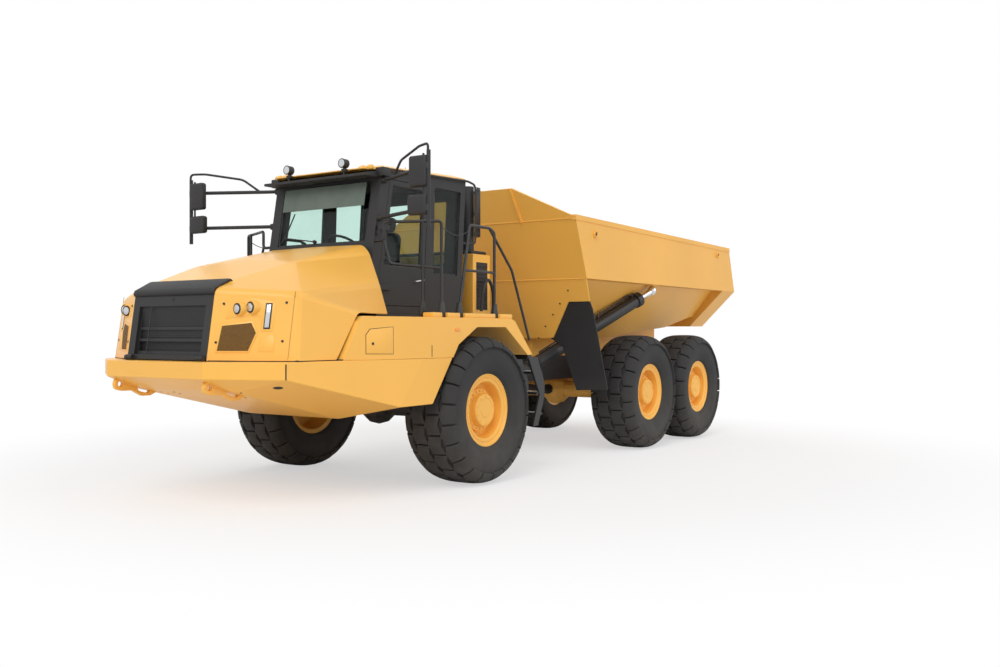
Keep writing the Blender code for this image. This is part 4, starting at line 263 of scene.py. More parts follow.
# Paints, castings, plastics and rubber: their colour, roughness, tone (scale and amount), grain
# (scale, strength and depth), dust, metal and coat
COATED = {
    "body_paint": ("yellow", 0.42, (0.7, 0.035), (60, 0.05, 0.0006), 0.0, 0.0, 0.12),
    "bed_paint": ("ochre", 0.48, (0.5, 0.05), (45, 0.08, 0.001), 0.0, 0.0, 0.08),
    "cast_paint": ("yellow", 0.5, (2.5, 0.08), (90, 0.3, 0.002), 0.25, 0.0, 0.0),
    "rim_paint": ("yellow", 0.45, (1.5, 0.05), (80, 0.1, 0.001), 0.0, 0.0, 0.08),
    "satin_black": ("black", 0.45, (1.5, 0.15), (80, 0.12, 0.001), 0.12, 0.0, 0.0),
    "black_plastic": ("black", 0.62, (2.0, 0.12), (320, 0.5, 0.0008), 0.0, 0.0, 0.0),
    "black_casting": ("black", 0.58, (3.0, 0.2), (110, 0.4, 0.002), 0.3, 0.0, 0.0),
    "tyre_rubber": ("rubber", 0.78, (4.0, 0.14), (140, 0.45, 0.002), 0.22, 0.0, 0.0),
    "flap_sheet": ("rubber", 0.66, (2.0, 0.12), (90, 0.2, 0.001), 0.3, 0.0, 0.0),
    "zinc": ("steel", 0.35, (8.0, 0.1), (300, 0.2, 0.0005), 0.0, 0.9, 0.0),
    "amber_lens": ("amber", 0.2, (10.0, 0.1), (260, 0.2, 0.0006), 0.0, 0.0, 0.6),
    "blind_cloth": ("blind", 0.8, (6.0, 0.1), (500, 0.3, 0.0006), 0.0, 0.0, 0.0),
    "seam_shadow": ("seam", 0.7, (2.0, 0.1), (120, 0.1, 0.0006), 0.0, 0.0, 0.0),
    "guard_sheet": ("black", 0.6, (3.0, 0.15), (120, 0.3, 0.001), 0.0, 0.0, 0.0),
}
COAT_ROUGHNESS = 0.12
# How far the grain moves the roughness either way
ROUGHNESS_SPREAD = 0.06


def coated(name, base, roughness, tone, grain, dust, metallic, coat):
    """Paint, casting or plastic: a toned colour, dust low down and a fine grain."""
    _, tree, shader = blank(name, roughness, metallic)
    toned = shared(tree, "Paint tone", Colour=(*base, 1), Scale=tone[0], Amount=tone[1])
    dusty = shared(tree, "Road dust", Colour=toned["Colour"], Amount=dust)
    surface = shared(tree, "Fine grain", Scale=grain[0], Strength=grain[1], Distance=grain[2])
    low = max(roughness - ROUGHNESS_SPREAD, 0.02)
    high = min(roughness + ROUGHNESS_SPREAD, 1.0)
    values = {
        "Base Color": dusty["Colour"],
        "Roughness": remap(tree, surface["Mask"], {"To Min": low, "To Max": high}),
        "Normal": surface["Normal"],
        "Coat Weight": coat,
        "Coat Roughness": COAT_ROUGHNESS,
    }
    connect(tree, shader, values)


def polished_rod(colours):
    """Polished rod with faint unevenness."""
    _, tree, shader = blank("polished_rod", 0.12, 1.0)
    wear = textured(tree, "Noise", Scale=40.0, Detail=2.0)["Fac"]
    toned = shared(tree, "Paint tone", Colour=(*colours.steel, 1), Amount=0.05)
    sheen = remap(tree, wear, {"To Min": 0.08, "To Max": 0.2})
    connect(tree, shader, {"Roughness": sheen, "Base Color": toned["Colour"]})


def pane_glass(colours):
    """Tinted window glass, faintly wavy."""
    _, tree, shader = blank("pane_glass", 0.02)
    toned = shared(tree, "Paint tone", Colour=(*colours.glass, 1), Amount=0.03)
    surface = shared(tree, "Fine grain", Scale=3.0, Strength=0.02, Distance=0.002)
    values = {
        "Base Color": toned["Colour"],
        "Normal": surface["Normal"],
        "IOR": 1.02,
        "Transmission Weight": 1.0,
        "Coat Weight": 0.3,
        "Coat Roughness": 0.03,
    }
    connect(tree, shader, values)


def lens_glass(colours):
    """Ribbed lamp lens over a bright reflector."""
    _, tree, shader = blank("lens_glass", 0.14, 0.75)
    ribs = textured(tree, "Wave", Scale=22.0, Distortion=0.2)["Fac"]
    toned = shared(tree, "Paint tone", Colour=(*colours.lens, 1), Scale=6.0)
    normal = bump(tree, ribs, 0.35, 0.003)
    connect(tree, shader, {"Base Color": toned["Colour"], "Normal": normal, "Coat Weight": 1.0})


def mirror_glass(colours):
    """Silvered glass, with only a trace of unevenness."""
    _, tree, shader = blank("mirror_glass", 0.04, 1.0)
    toned = shared(tree, "Paint tone", Colour=(*colours.lens, 1), Amount=0.02)
    surface = shared(tree, "Fine grain", Scale=2.0, Strength=0.02, Distance=0.001)
    connect(tree, shader, {"Base Color": toned["Colour"], "Normal": surface["Normal"]})


def seat_cloth(colours):
    """Woven seat cover."""
    _, tree, shader = blank("seat_cloth", 0.9)
    weave = textured(tree, "Checker", Scale=260.0)["Fac"]
    toned = shared(tree, "Paint tone", Colour=(*colours.cloth, 1), Scale=12.0, Amount=0.2)
    normal = bump(tree, weave, 0.4, 0.001)
    connect(tree, shader, {"Base Color": toned["Colour"], "Normal": normal, "Sheen Weight": 0.2})


def pierce_guard():
    """Cuts rows of round holes through the guard's sheet."""
    tree = bpy.data.materials["guard_sheet"].node_tree
    cells = textured(tree, "Voronoi", Scale=34.0, Randomness=0.0)
    solid = sums(tree, "GREATER_THAN", cells["Distance"], 0.4)
    connect(tree, tree.nodes["Principled BSDF"].inputs, {"Alpha": solid})


def mesh_screen():
    """Perforated sheet: close round holes, with painted shade for what lies behind them."""
    _, tree, shader = blank("mesh_screen", 0.85)
    cells = textured(tree, "Voronoi", Scale=210.0, Randomness=0.35)
    # The near-black brown where this mask is high is painted shade behind the holes; the mask also
    # bumps the sheet
    hole_shade = remap(tree, cells["Distance"], {"From Min": 0.28, "From Max": 0.42})
    shade = mixed(tree, hole_shade, (0.5, 0.25, 0.035, 1), (0.09, 0.045, 0.01, 1))
    connect(tree, shader, {"Base Color": shade, "Normal": bump(tree, hole_shade, 0.6, 0.003)})


def add_piece(name, mesh, finish, body, replaced=(), smooth=30):
    """Turns a bmesh into a finished piece that rides on a body."""
    data = bpy.data.meshes.new(name)
    mesh.to_mesh(data)
    mesh.free()
    data.shade_smooth()
    data.set_sharp_from_angle(angle=radians(smooth))
    data.materials.append(bpy.data.materials[finish])
    piece = bpy.data.objects.new(name, data)
    bpy.context.scene.collection.objects.link(piece)
    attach(piece, body)
    if replaced:
        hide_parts(*replaced)
    return piece


def thicken(piece, thickness, offset):
    """Gives a skin its wall: inwards at -1, both ways at 0."""
    wall = piece.modifiers.new("wall", "SOLIDIFY")
    wall.thickness = thickness
    wall.offset = offset


def flat_faces(piece):
    """Keeps large faces evenly lit up to their rounded edges."""
    normals = piece.modifiers.new("flat_faces", "WEIGHTED_NORMAL")
    normals.keep_sharp = True
    normals.weight = 100


def body_of(node):
    """The body that a CAD node rides on."""
    for body, members in frame["record"]["behaviour"]["bodies"].items():
        if node in members:
            return body
    raise ValueError(f"no body holds {node}")


def outwards(mesh):
    """Turns every face of a closed mesh outwards."""
    bmesh.ops.recalc_face_normals(mesh, faces=mesh.faces)


def of_kind(result, kind):
    """The items of one kind in an operator's result."""
    return [item for item in result if isinstance(item, kind)]


def bevel(mesh, edges, width, segments=2):
    """Rounds some edges."""
    bmesh.ops.bevel(
        mesh,
        geom=edges,
        offset=width,
        segments=segments,
        profile=0.5,
        affect="EDGES",
        clamp_overlap=True,
        material=-1,
    )


def soften(mesh, width, segments=2, angle=20):
    """Rounds every edge that is sharper than an angle."""
    sharp = [e for e in mesh.edges if e.is_manifold and e.calc_face_angle() > radians(angle)]
    bevel(mesh, sharp, width, segments)


def clean_copy(node):
    """A CAD node's solid with its flat faces whole again."""
    mesh = bmesh.new()
    mesh.from_mesh(frame["nodes"][node].data)
    bmesh.ops.remove_doubles(mesh, verts=mesh.verts, dist=MERGE)
    bmesh.ops.dissolve_limit(
        mesh,
        angle_limit=radians(0.6),
        verts=mesh.verts,
        edges=mesh.edges,
        use_dissolve_boundaries=False,
    )
    return mesh


def block(low, high, width=0.0, segments=2):
    """A block between two corners, with rounded edges."""
    mesh = bmesh.new()
    bmesh.ops.create_cube(mesh, size=1)
    low, high = Vector(low), Vector(high)
    bmesh.ops.scale(mesh, vec=high - low, verts=mesh.verts)
    bmesh.ops.translate(mesh, vec=(low + high) / 2, verts=mesh.verts)
    if width:
        soften(mesh, width, segments)
    return mesh


def side_block(sign, inner, outer, low, high, width=0.0, segments=2):
    """A block on one side, from its reach across and its (distance back, height) corners."""
    near, far = sorted((sign * inner, sign * outer))
    return block(truck(near, *low), truck(far, *high), width, segments)


def facing(normal):
    """The turn that takes +Z to a direction."""
    return Vector(normal).to_track_quat("Z", "Y").to_matrix().to_4x4()


def pin(centre, normal, radius, height, sides=16, edge=0.0):
    """A round head or stud that stands on a point, along a direction."""
    mesh = bmesh.new()
    bmesh.ops.create_cone(
        mesh, cap_ends=True, segments=sides, radius1=radius, radius2=radius, depth=height
    )
    bmesh.ops.translate(mesh, vec=(0, 0, height / 2), verts=mesh.verts)
    if edge:
        bevel(mesh, [e for e in mesh.edges if all(v.co.z > height - MERGE for v in e.verts)], edge)
    bmesh.ops.transform(mesh, matrix=Matrix.Translation(centre) @ facing(normal), verts=mesh.verts)
    return mesh


def joined(meshes):
    """Several bmeshes as one."""
    whole = bmesh.new()
    for mesh in meshes:
        data = bpy.data.meshes.new("part")
        mesh.to_mesh(data)
        mesh.free()
        whole.from_mesh(data)
        bpy.data.meshes.remove(data)
    return whole


def tube(points, radius, closed=False, sides=8):
    """A round tube along a line of points, with capped ends."""
    points = [Vector(point) for point in points]
    count = len(points)
    mesh = bmesh.new()
    rings = []
    for i, point in enumerate(points):
        before = points[(i - 1) % count] if closed or i > 0 else point
        after = points[(i + 1) % count] if closed or i < count - 1 else point
        run = (after - before).normalized()
        seed = Vector((0, 0, 1)) if abs(run.z) < 0.9 else Vector((1, 0, 0))
        first = run.cross(seed).normalized()
        second = run.cross(first)
        ring = []
        for k in range(sides):
            turn = tau * k / sides
            ring.append(mesh.verts.new(point + (first * cos(turn) + second * sin(turn)) * radius))
        rings.append([mesh.edges.new((ring[k - 1], ring[k])) for k in range(sides)])
    pairs = list(zip(rings, rings[1:]))
    if closed:
        pairs.append((rings[-1], rings[0]))
    for near, far in pairs:
        bmesh.ops.bridge_loops(mesh, edges=near + far)
    if not closed:
        for ring in (rings[0], rings[-1]):
            bmesh.ops.contextual_create(mesh, geom=ring)
    outwards(mesh)
    return mesh


def arc(before, corner, after, reach, steps):
    """The arc that takes the place of a path's corner."""
    start = corner + (before - corner).normalized() * reach
    end = corner + (after - corner).normalized() * reach
    shares = [i / steps for i in range(steps + 1)]
    return [start.lerp(corner, t).lerp(corner.lerp(end, t), t) for t in shares]


def rounded(points, reach, steps=4):
    """A path with its corners turned into arcs."""
    points = [Vector(point) for point in points]
    path = [points[0]]
    for before, corner, after in zip(points, points[1:], points[2:]):
        path += arc(before, corner, after, reach, steps)
    return path + [points[-1]]


def rounded_loop(points, reach, steps=4):
    """A closed path with its corners turned into arcs."""
    path = []
    for i, corner in enumerate(points):
        path += arc(points[i - 1], corner, points[(i + 1) % len(points)], reach, steps)
    return path


def turned(line, centre, axis, sides, turn=tau):
    """A skin made by turning a line of points about an axis."""
    mesh = bmesh.new()
    verts = [mesh.verts.new(point) for point in line]
    edges = [mesh.edges.new(pair) for pair in zip(verts, verts[1:])]
    bmesh.ops.spin(
        mesh,
        geom=verts + edges,
        cent=centre,
        axis=axis,
        angle=turn,
        steps=sides,
        use_merge=turn == tau,
    )
    return mesh


def spun(profile, sides, sign=1):
    """A turned piece about the X axis, from (radius, x) points."""
    line = [(sign * x, 0, radius) for radius, x in profile]
    mesh = turned(line, (0, 0, 0), (1, 0, 0), sides)
    bmesh.ops.remove_doubles(mesh, verts=mesh.verts, dist=MERGE)
    outwards(mesh)
    return mesh


def ring(centre, normal, radius, thickness, sides=24):
    """A round ring that lies across a direction."""
    turn = facing(normal)
    points = [
        Vector(centre) + turn @ Vector((cos(tau * i / sides), sin(tau * i / sides), 0)) * radius
        for i in range(sides)
    ]
    return tube(points, thickness, True)


def mirrored(point, sign):
    """A left-hand point, or its mirror image on the right."""
    return Vector((sign * point[0], point[1], point[2]))


def truck(x, y, z):
    """A point from its place behind the front axle."""
    return Vector((x, y - MIDDLE, z))


def sided(points, sign):
    """Places behind the front axle as points on one side."""
    return [mirrored(truck(*point), sign) for point in points]


def sight(pixel):
    """The direction in which the camera sees a pixel of the photograph."""
    across = (pixel[0] - IMAGE_WIDTH / 2) / IMAGE_WIDTH * CAMERA_SENSOR
    up = (IMAGE_HEIGHT / 2 - pixel[1]) / IMAGE_WIDTH * CAMERA_SENSOR
    turn = Matrix.Rotation(CAMERA_TURN[2], 3, "Z") @ Matrix.Rotation(CAMERA_TURN[0], 3, "X")
    return (turn @ Vector((across, up, -CAMERA_LENS))).normalized()


# Surfaces by node, to place details on
TREES = {}


def meet(node, start, direction):
    """Where a ray meets a node: the point and the surface's normal."""
    if node not in TREES:
        mesh = bmesh.new()
        mesh.from_mesh(frame["nodes"][node].data)
        TREES[node] = BVHTree.FromBMesh(mesh)
        mesh.free()
    point, normal, _, _ = TREES[node].ray_cast(Vector(start), Vector(direction))
    if point is None:
        raise ValueError(f"{node} isn't met from {tuple(start)}")
    return point, normal


def spot(node, pixel):
    """Where the camera sees a node at a pixel of the photograph."""
    return meet(node, CAMERA_PLACE, sight(pixel))


def plate(points, normal, thickness, sink=0.004, edge=0.004):
    """A plate with an outline on a surface, standing out by its thickness."""
    normal = Vector(normal).normalized()
    mesh = bmesh.new()
    face = mesh.faces.new([mesh.verts.new(Vector(point) - normal * sink) for point in points])
    raised = bmesh.ops.extrude_face_region(mesh, geom=[face])["geom"]
    tops = of_kind(raised, bmesh.types.BMVert)
    bmesh.ops.translate(mesh, vec=normal * (thickness + sink), verts=tops)
    outwards(mesh)
    if edge:
        soften(mesh, edge)
    return mesh


# The front narrows ahead of the wheels: where the taper starts and ends, and its reach
TAPER_INNER = 0.63
TAPER_OUTER = 1.673
TAPER_REAR = -1.2
TAPER_FRONT = -3.1
TAPER_MIDDLE = -2.2
TAPER_WAY = Vector((-0.2414, 0.238, 0))


def tapered(point):
    """A point of the front body, drawn in and back by the taper."""
    sign = 1 if point.x >= 0 else -1
    across = (abs(point.x) - TAPER_INNER) / (TAPER_OUTER - TAPER_INNER)
    along = (point.y + MIDDLE - TAPER_REAR) / (TAPER_FRONT - TAPER_REAR)
    share = min(max(across, 0), 1) * min(max(along, 0), 1)
    return point + mirrored(TAPER_WAY * share, sign)


def cut(mesh, place, normal, clear=False):
    """Cuts a mesh with a plane, clears what lies behind it if asked, and gives the cut's edges."""
    result = bmesh.ops.bisect_plane(
        mesh,
        geom=mesh.verts[:] + mesh.edges[:] + mesh.faces[:],
        plane_co=place,
        plane_no=normal,
        clear_inner=clear,
    )
    return of_kind(result["geom_cut"], bmesh.types.BMEdge)


def taper(mesh):
    """Draws in the front of a mesh, with new edges where the taper bends."""
    for y in (TAPER_REAR, TAPER_MIDDLE):
        cut(mesh, truck(0, y, 0), (0, 1, 0))
    for vert in mesh.verts:
        vert.co = tapered(vert.co)


def softened(node, finish, width, segments=2, front=False):
    """A CAD node's solid with rounded edges, in its place."""
    mesh = clean_copy(node)
    if front:
        taper(mesh)
    soften(mesh, width, segments)
    flat_faces(add_piece(f"{node}_form", mesh, finish, body_of(node), (node,), 35))


def shell(points, faces):
    """An open skin from one half's corners and faces, mirrored, its faces outwards."""
    mesh = bmesh.new()
    for sign in (1, -1):
        places = zip(points, sided(points.values(), sign))
        verts = {key: mesh.verts.new(place) for key, place in places}
        for names in faces:
            corners = [verts[name] for name in names]
            mesh.faces.new(corners if sign > 0 else corners[::-1])
    bmesh.ops.remove_doubles(mesh, verts=mesh.verts, dist=MERGE)
    outwards(mesh)
    top = max(mesh.faces, key=lambda face: face.calc_center_median().z)
    if top.normal.z < 0:
        bmesh.ops.reverse_faces(mesh, faces=mesh.faces)
    return mesh


# Tyre section, from the wheel's middle
TYRE_HALF_WIDTH = 0.34
TYRE_WAIST = 0.66
TYRE_RADIUS = 0.885
TYRE_POWER = 3.5
# Side wall from the waist to the bead, as (radius, x)
TYRE_WALL = (
    *((0.6, 0.337), (0.54, 0.322), (0.5, 0.305), (0.48, 0.302)),
    *((0.465, 0.29), (0.452, 0.278), (0.44, 0.272)),
)
TREAD_PITCHES = 22
TREAD_COLUMNS = (-0.385, -0.2, 0.0, 0.2, 0.385)
TREAD_ZIGZAG = 0.035
TREAD_SINK = 0.006
TREAD_EDGE = 0.007


def tyre_section(crown):
    """The tyre's outside from its middle to its waist, as (run, x, radius) rows."""
    rows = []
    run, last = 0.0, None
    for degree in range(91):
        turn = radians(degree)
        x = TYRE_HALF_WIDTH * sin(turn) ** (2 / TYRE_POWER)
        radius = TYRE_WAIST + (crown - TYRE_WAIST) * max(cos(turn), 0) ** (2 / TYRE_POWER)
        if last:
            run += (Vector((x, radius)) - last).length
        last = Vector((x, radius))
        rows.append((run, x, radius))
    return rows


def across_tyre(rows, run):
    """The point and the outward direction at a distance across the tread."""
    sign = 1 if run >= 0 else -1
    reach = abs(run)
    index = next((i for i in range(1, len(rows)) if rows[i][0] >= reach), len(rows) - 1)
    low, high = rows[index - 1], rows[index]
    share = min((reach - low[0]) / max(high[0] - low[0], MERGE), 1.0)
    point = Vector(low[1:]).lerp(Vector(high[1:]), share)
    step = (Vector(high[1:]) - Vector(low[1:])).normalized()
    return Vector((sign * point.x, point.y)), Vector((-sign * step.y, step.x))


def tread(sizes, rows):
    """All tread blocks of one tyre, laid out flat and wrapped round it."""
    pitch = tau * TYRE_RADIUS / TREAD_PITCHES
    half, gap = pitch / 2, sizes.tread_groove / 2
    columns = list(zip(TREAD_COLUMNS, TREAD_COLUMNS[1:]))
    mesh = bmesh.new()
    for column, (low, high) in enumerate(columns):
        # The shoulders are straight
        bend_low = TREAD_ZIGZAG / 2 if column > 0 else 0
        bend_high = TREAD_ZIGZAG / 2 if column < len(columns) - 1 else 0
        for i in range(TREAD_PITCHES):
            middle = (i + column % 2 / 2) * pitch
            pairs = []
            for u, sign in ((-half + gap, 1), (0, -1), (half - gap, 1)):
                ends = (low + gap + sign * bend_low, high - gap + sign * bend_high)
                pairs.append([mesh.verts.new((middle + u, v, 0)) for v in ends])
            for (a, b), (c, d) in zip(pairs, pairs[1:]):
                mesh.faces.new((a, c, d, b))
    bmesh.ops.subdivide_edges(mesh, edges=mesh.edges, cuts=2, use_grid_fill=True)
    raised = bmesh.ops.extrude_face_region(mesh, geom=mesh.faces[:])["geom"]
    height = sizes.tread_height + TREAD_SINK
    bmesh.ops.translate(mesh, vec=(0, 0, height), verts=of_kind(raised, bmesh.types.BMVert))
    outwards(mesh)
    rim = [
        e
        for e in mesh.edges
        if e.is_manifold and e.calc_face_angle() > 1 and all(v.co.z > height / 2 for v in e.verts)
    ]
    bevel(mesh, rim, TREAD_EDGE)
    for vert in mesh.verts:
        point, outward = across_tyre(rows, vert.co.y)
        x, radius = point + outward * (vert.co.z - TREAD_SINK)
        turn = vert.co.x / TYRE_RADIUS
        vert.co = (x, radius * sin(turn), radius * cos(turn))
    return mesh


def tyre_mesh(sizes):
    """A whole tyre about its own middle."""
    rows = tyre_section(TYRE_RADIUS - sizes.tread_height)
    side = [(radius, x) for _, x, radius in rows[::6]] + list(TYRE_WALL)
    other = [(radius, -x) for radius, x in reversed(side)]
    return joined([spun(other[:-1] + side + [other[0]], 72), tread(sizes, rows)])


def dress_wheel(kind, wheel, mesh, finish, smooth):
    """Puts a piece made about its own middle in place of a wheel's tyre or rim."""
    low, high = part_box(f"tyre_{wheel}")
    bmesh.ops.translate(mesh, vec=(low + high) / 2, verts=mesh.verts)
    node = f"{kind}_{wheel}"
    add_piece(f"{node}_form", mesh, finish, f"wheel_{wheel}", (node,), smooth)


# Turned wheel disc: (radius, distance out from the wheel's middle)
RIM_PROFILE = (
    *((0.0, -0.1), (0.19, -0.1), (0.2, 0.03), (0.36, 0.03), (0.385, -0.255), (0.439, -0.268)),
    *((0.439, 0.255), (0.436, 0.268), (0.424, 0.268), (0.418, 0.258), (0.396, 0.252)),
    *((0.391, 0.243), (0.381, 0.243), (0.376, 0.25), (0.352, 0.247), (0.341, 0.236)),
    *((0.335, 0.12), (0.322, 0.1), (0.27, 0.095), (0.262, 0.1), (0.26, 0.148)),
    *((0.254, 0.155), (0.205, 0.158), (0.2, 0.165), (0.196, 0.228), (0.186, 0.24)),
    *((0.15, 0.243), (0.144, 0.236), (0.09, 0.236), (0.084, 0.243), (0.0, 0.244)),
)
# Bolt rings: how many, the ring's radius, its distance out and a bolt's radius
BOLT_RINGS = ((20, 0.23, 0.155, 0.013), (10, 0.166, 0.24, 0.009))


class TRUCK_OT_finishes(bpy.types.Operator):
    """Paints, plastics, rubber, glass and metal of the truck"""

    bl_idname = "truck.finishes"
    bl_label = "Finishes"

    def execute(self, context):
        colours = context.scene.truck_colours
        for make in (tone_group, grain_group, dust_group, mesh_screen):
            make()
        for name, (base, *values) in COATED.items():
            coated(name, getattr(colours, base), *values)
        for make in (polished_rod, pane_glass, lens_glass, mirror_glass, seat_cloth):
            make(colours)
        pierce_guard()
        for finish, nodes in NODE_FINISHES.items():
            for node in nodes:
                materials = frame["nodes"][node].data.materials
                materials.clear()
                materials.append(bpy.data.materials[finish])
        return {"FINISHED"}


class TRUCK_OT_tyres(bpy.types.Operator):
    """Six lugged tyres in place of their plain solids"""

    bl_idname = "truck.tyres"
    bl_label = "Tyres"

    def execute(self, context):
        for wheel in WHEELS:
            mesh = tyre_mesh(context.scene.truck_sizes)
            dress_wheel("tyre", wheel, mesh, "tyre_rubber", 40)
        return {"FINISHED"}


class TRUCK_OT_rims(bpy.types.Operator):
    """Six stepped rims with their hubs and bolt rings"""

    bl_idname = "truck.rims"
    bl_label = "Rims"

    def execute(self, context):
        for wheel in WHEELS:
            sign = 1 if wheel.endswith("left") else -1
            pieces = [spun(RIM_PROFILE, 64, sign)]
            for count, radius, x, size in BOLT_RINGS:
                for i in range(count):
                    turn = tau * i / count
                    place = (sign * x, radius * sin(turn), radius * cos(turn))
                    pieces.append(pin(place, (sign, 0, 0), size, size * 1.2, 6, size * 0.2))
            dress_wheel("rim", wheel, joined(pieces), "rim_paint", 35)
        return {"FINISHED"}


# The hood's flat front corner on the left: its foot, rise and run, and its width in the photograph
CORNER_FOOT = truck(0.63, -3.31, 1.54)
CORNER_RISE = Vector((0, 0.11, 0.72))
CORNER_RUN = Vector((0.85, 0.44, 0))
CORNER_WIDTH = Vector((0.99, 0.23, 0))


def hood_corner(across, up, depth, sign):
    """A point on the hood's flat front corner, from shares of its width and height."""
    normal = CORNER_RUN.cross(CORNER_RISE).normalized()
    view = CORNER_FOOT + CORNER_WIDTH * across + CORNER_RISE * up - CAMERA_PLACE
    reach = (CORNER_FOOT - CAMERA_PLACE).dot(normal) / view.dot(normal)
    return mirrored(CAMERA_PLACE + view * reach + normal * depth, sign)


def corner_way(sign):
    """The direction out of the hood's front corner."""
    return hood_corner(0, 0, 1, sign) - hood_corner(0, 0, 0, sign)


def corner_plate(shares, thickness, sign, edge=0.003):
    """A plate on the hood's front corner."""
    points = [hood_corner(*share, 0, sign) for share in shares]
    return plate(points, corner_way(sign), thickness, edge=edge)


def pins_at(node, pixel, sink, *shape):
    """The same pin on both sides, where the camera sees a node at a pixel."""
    point, normal = spot(node, pixel)
    pins = []
    for _, sign in SIDES:
        way = mirrored(normal, sign)
        pins.append(pin(mirrored(point, sign) - way * sink, way, *shape))
    return pins


def oblong(low, high):
    """The four corners of an oblong."""
    return (low, (high[0], low[1]), high, (low[0], high[1]))


def outline_of(node):
    """The outline of a pane's largest face."""
    mesh = clean_copy(node)
    face = max(mesh.faces, key=lambda f: (round(f.calc_area(), 6), f.normal.x - f.normal.y))
    points = [vert.co.copy() for vert in face.verts]
    mesh.free()
    return points


def cushion(low, high, power=5.0):
    """A crowned, closed pad between two corners."""
    mesh = bmesh.new()
    bmesh.ops.create_cube(mesh, size=2)
    bmesh.ops.subdivide_edges(mesh, edges=mesh.edges, cuts=11, use_grid_fill=True)
    for vert in mesh.verts:
        reach = sum(abs(value) ** power for value in vert.co) ** (1 / power)
        vert.co = (low + high) / 2 + vert.co / reach * (high - low) / 2
    return mesh


def bent(line, sign, reach, radius, sides=12):
    """A bent tube on one side, from places behind the front axle."""
    return tube(rounded(sided(line, sign), reach), radius, False, sides)


# Least turn between two faces of a skin whose edge is rounded, in degrees
SKIN_ANGLE = 3
# Hood outline on the left: name, x, distance behind the front axle, height
HOOD_POINTS = {
    "front_mid": (0, -3.02, 2.345),
    "front": (0.64, -3.02, 2.335),
    "front_top": (0.63, -3.2, 2.25),
    "front_low": (0.63, -3.31, 1.54),
    "middle_mid": (0, -2.3, 2.63),
    "middle": (0.78, -2.3, 2.57),
    "rear_mid": (0, -1.17, 2.84),
    "rear": (0.76, -1.17, 2.83),
    "rear_edge": (0.86, -1.17, 2.74),
    "rear_shoulder": (1.02, -1.17, 2.36),
    "shoulder": (1.4, -2.811, 2.2),
    "corner_low": (1.45, -2.8855, 1.54),
    "side_low": (1.463, -2.349, 1.54),
    "side_top": (1.502, -2.063, 2.03),
    "deck_rear": (1.135, -1.17, 2.03),
}
HOOD_FACES = (
    ("front_mid", "front", "middle", "middle_mid"),
    ("middle_mid", "middle", "rear", "rear_mid"),
    ("front", "shoulder", "middle"),
    ("middle", "rear_edge", "rear"),
    ("middle", "shoulder", "rear_shoulder", "rear_edge"),
    ("front", "front_top", "shoulder"),
    ("front_top", "front_low", "corner_low", "shoulder"),
    ("corner_low", "side_low", "side_top", "shoulder"),
    ("shoulder", "side_top", "deck_rear", "rear_shoulder"),
)
# What the hood's front corner carries, in shares of its width and height
LAMP_SHARES = ((0.319, 0.708), (0.468, 0.726))
STRIP_SHARES = oblong((0.62, 0.45), (0.67, 0.76))
STRIP_FRAME = oblong((0.608, 0.43), (0.683, 0.78))
SCREEN_SHARES = ((0.11, 0.133), (0.465, 0.136), (0.533, 0.379), (0.469, 0.514), (0.138, 0.474))
SCREEN_FRAME = ((0.092, 0.108), (0.474, 0.111), (0.552, 0.379), (0.478, 0.542), (0.122, 0.5))
POCKET_SHARES = ((0.574, 0.126), (0.755, 0.126), (0.74, 0.34), (0.7, 0.36), (0.59, 0.3))
LAMP_PANEL = (
    *((0.225, 0.843), (0.489, 0.85), (0.66, 0.81), (0.72, 0.76), (0.72, 0.4)),
    *((0.585, 0.4), (0.56, 0.6), (0.45, 0.61), (0.16, 0.575)),
)
CORNER_BOLTS = ((0.125, 0.78), (0.085, 0.25), (0.835, 0.785), (0.835, 0.27))
CORNER_SEAM = oblong((0.915, 0.02), (0.92, 0.93))


class TRUCK_OT_hood(bpy.types.Operator):
    """Rounded hood skin with lamps, screens, bolts and seams"""

    bl_idname = "truck.hood"
    bl_label = "Hood"

    def execute(self, context):
        mesh = shell(HOOD_POINTS, HOOD_FACES)
        soften(mesh, context.scene.truck_sizes.hood_edge, 5, SKIN_ANGLE)
        hood = add_piece("hood_form", mesh, "body_paint", "hood", ("hood",), 40)
        thicken(hood, 0.018, -1)
        flat_faces(hood)
        for side, sign in SIDES:
            lamp_way = mirrored((-0.1, -0.99, 0), sign).normalized()
            panels = [
                corner_plate(LAMP_PANEL, 0.004, sign, 0.0035),
                corner_plate(SCREEN_FRAME, 0.007, sign),
                corner_plate(POCKET_SHARES, 0.004, sign, 0.0035),
            ]
            black = [corner_plate(STRIP_FRAME, 0.008, sign)]
            lenses = [corner_plate(STRIP_SHARES, 0.012, sign)]
            for share in LAMP_SHARES:
                centre = hood_corner(*share, 0, sign)
                panels.append(pin(centre - lamp_way * 0.06, lamp_way, 0.07, 0.095, 32, 0.008))
                centre += lamp_way * 0.03
                black.append(pin(centre, lamp_way, 0.057, 0.012, 32, 0.003))
                lenses.append(pin(centre, lamp_way, 0.042, 0.018, 32, 0.006))
            for share in CORNER_BOLTS:
                place = hood_corner(*share, -0.002, sign)
                black.append(pin(place, corner_way(sign), 0.013, 0.009, 12, 0.003))
            add_piece(f"lamp_panels_{side}", joined(panels), "body_paint", "hood")
            screen = corner_plate(SCREEN_SHARES, 0.0085, sign, 0)
            add_piece(f"hood_screen_{side}", screen, "mesh_screen", "hood")
            add_piece(f"lamp_rims_{side}", joined(black), "black_plastic", "hood")
            add_piece(f"head_lamps_{side}", joined(lenses), "lens_glass", "hood")
            seam = corner_plate(CORNER_SEAM, 0.0008, sign, 0)
            add_piece(f"hood_seam_{side}", seam, "seam_shadow", "hood")
        return {"FINISHED"}


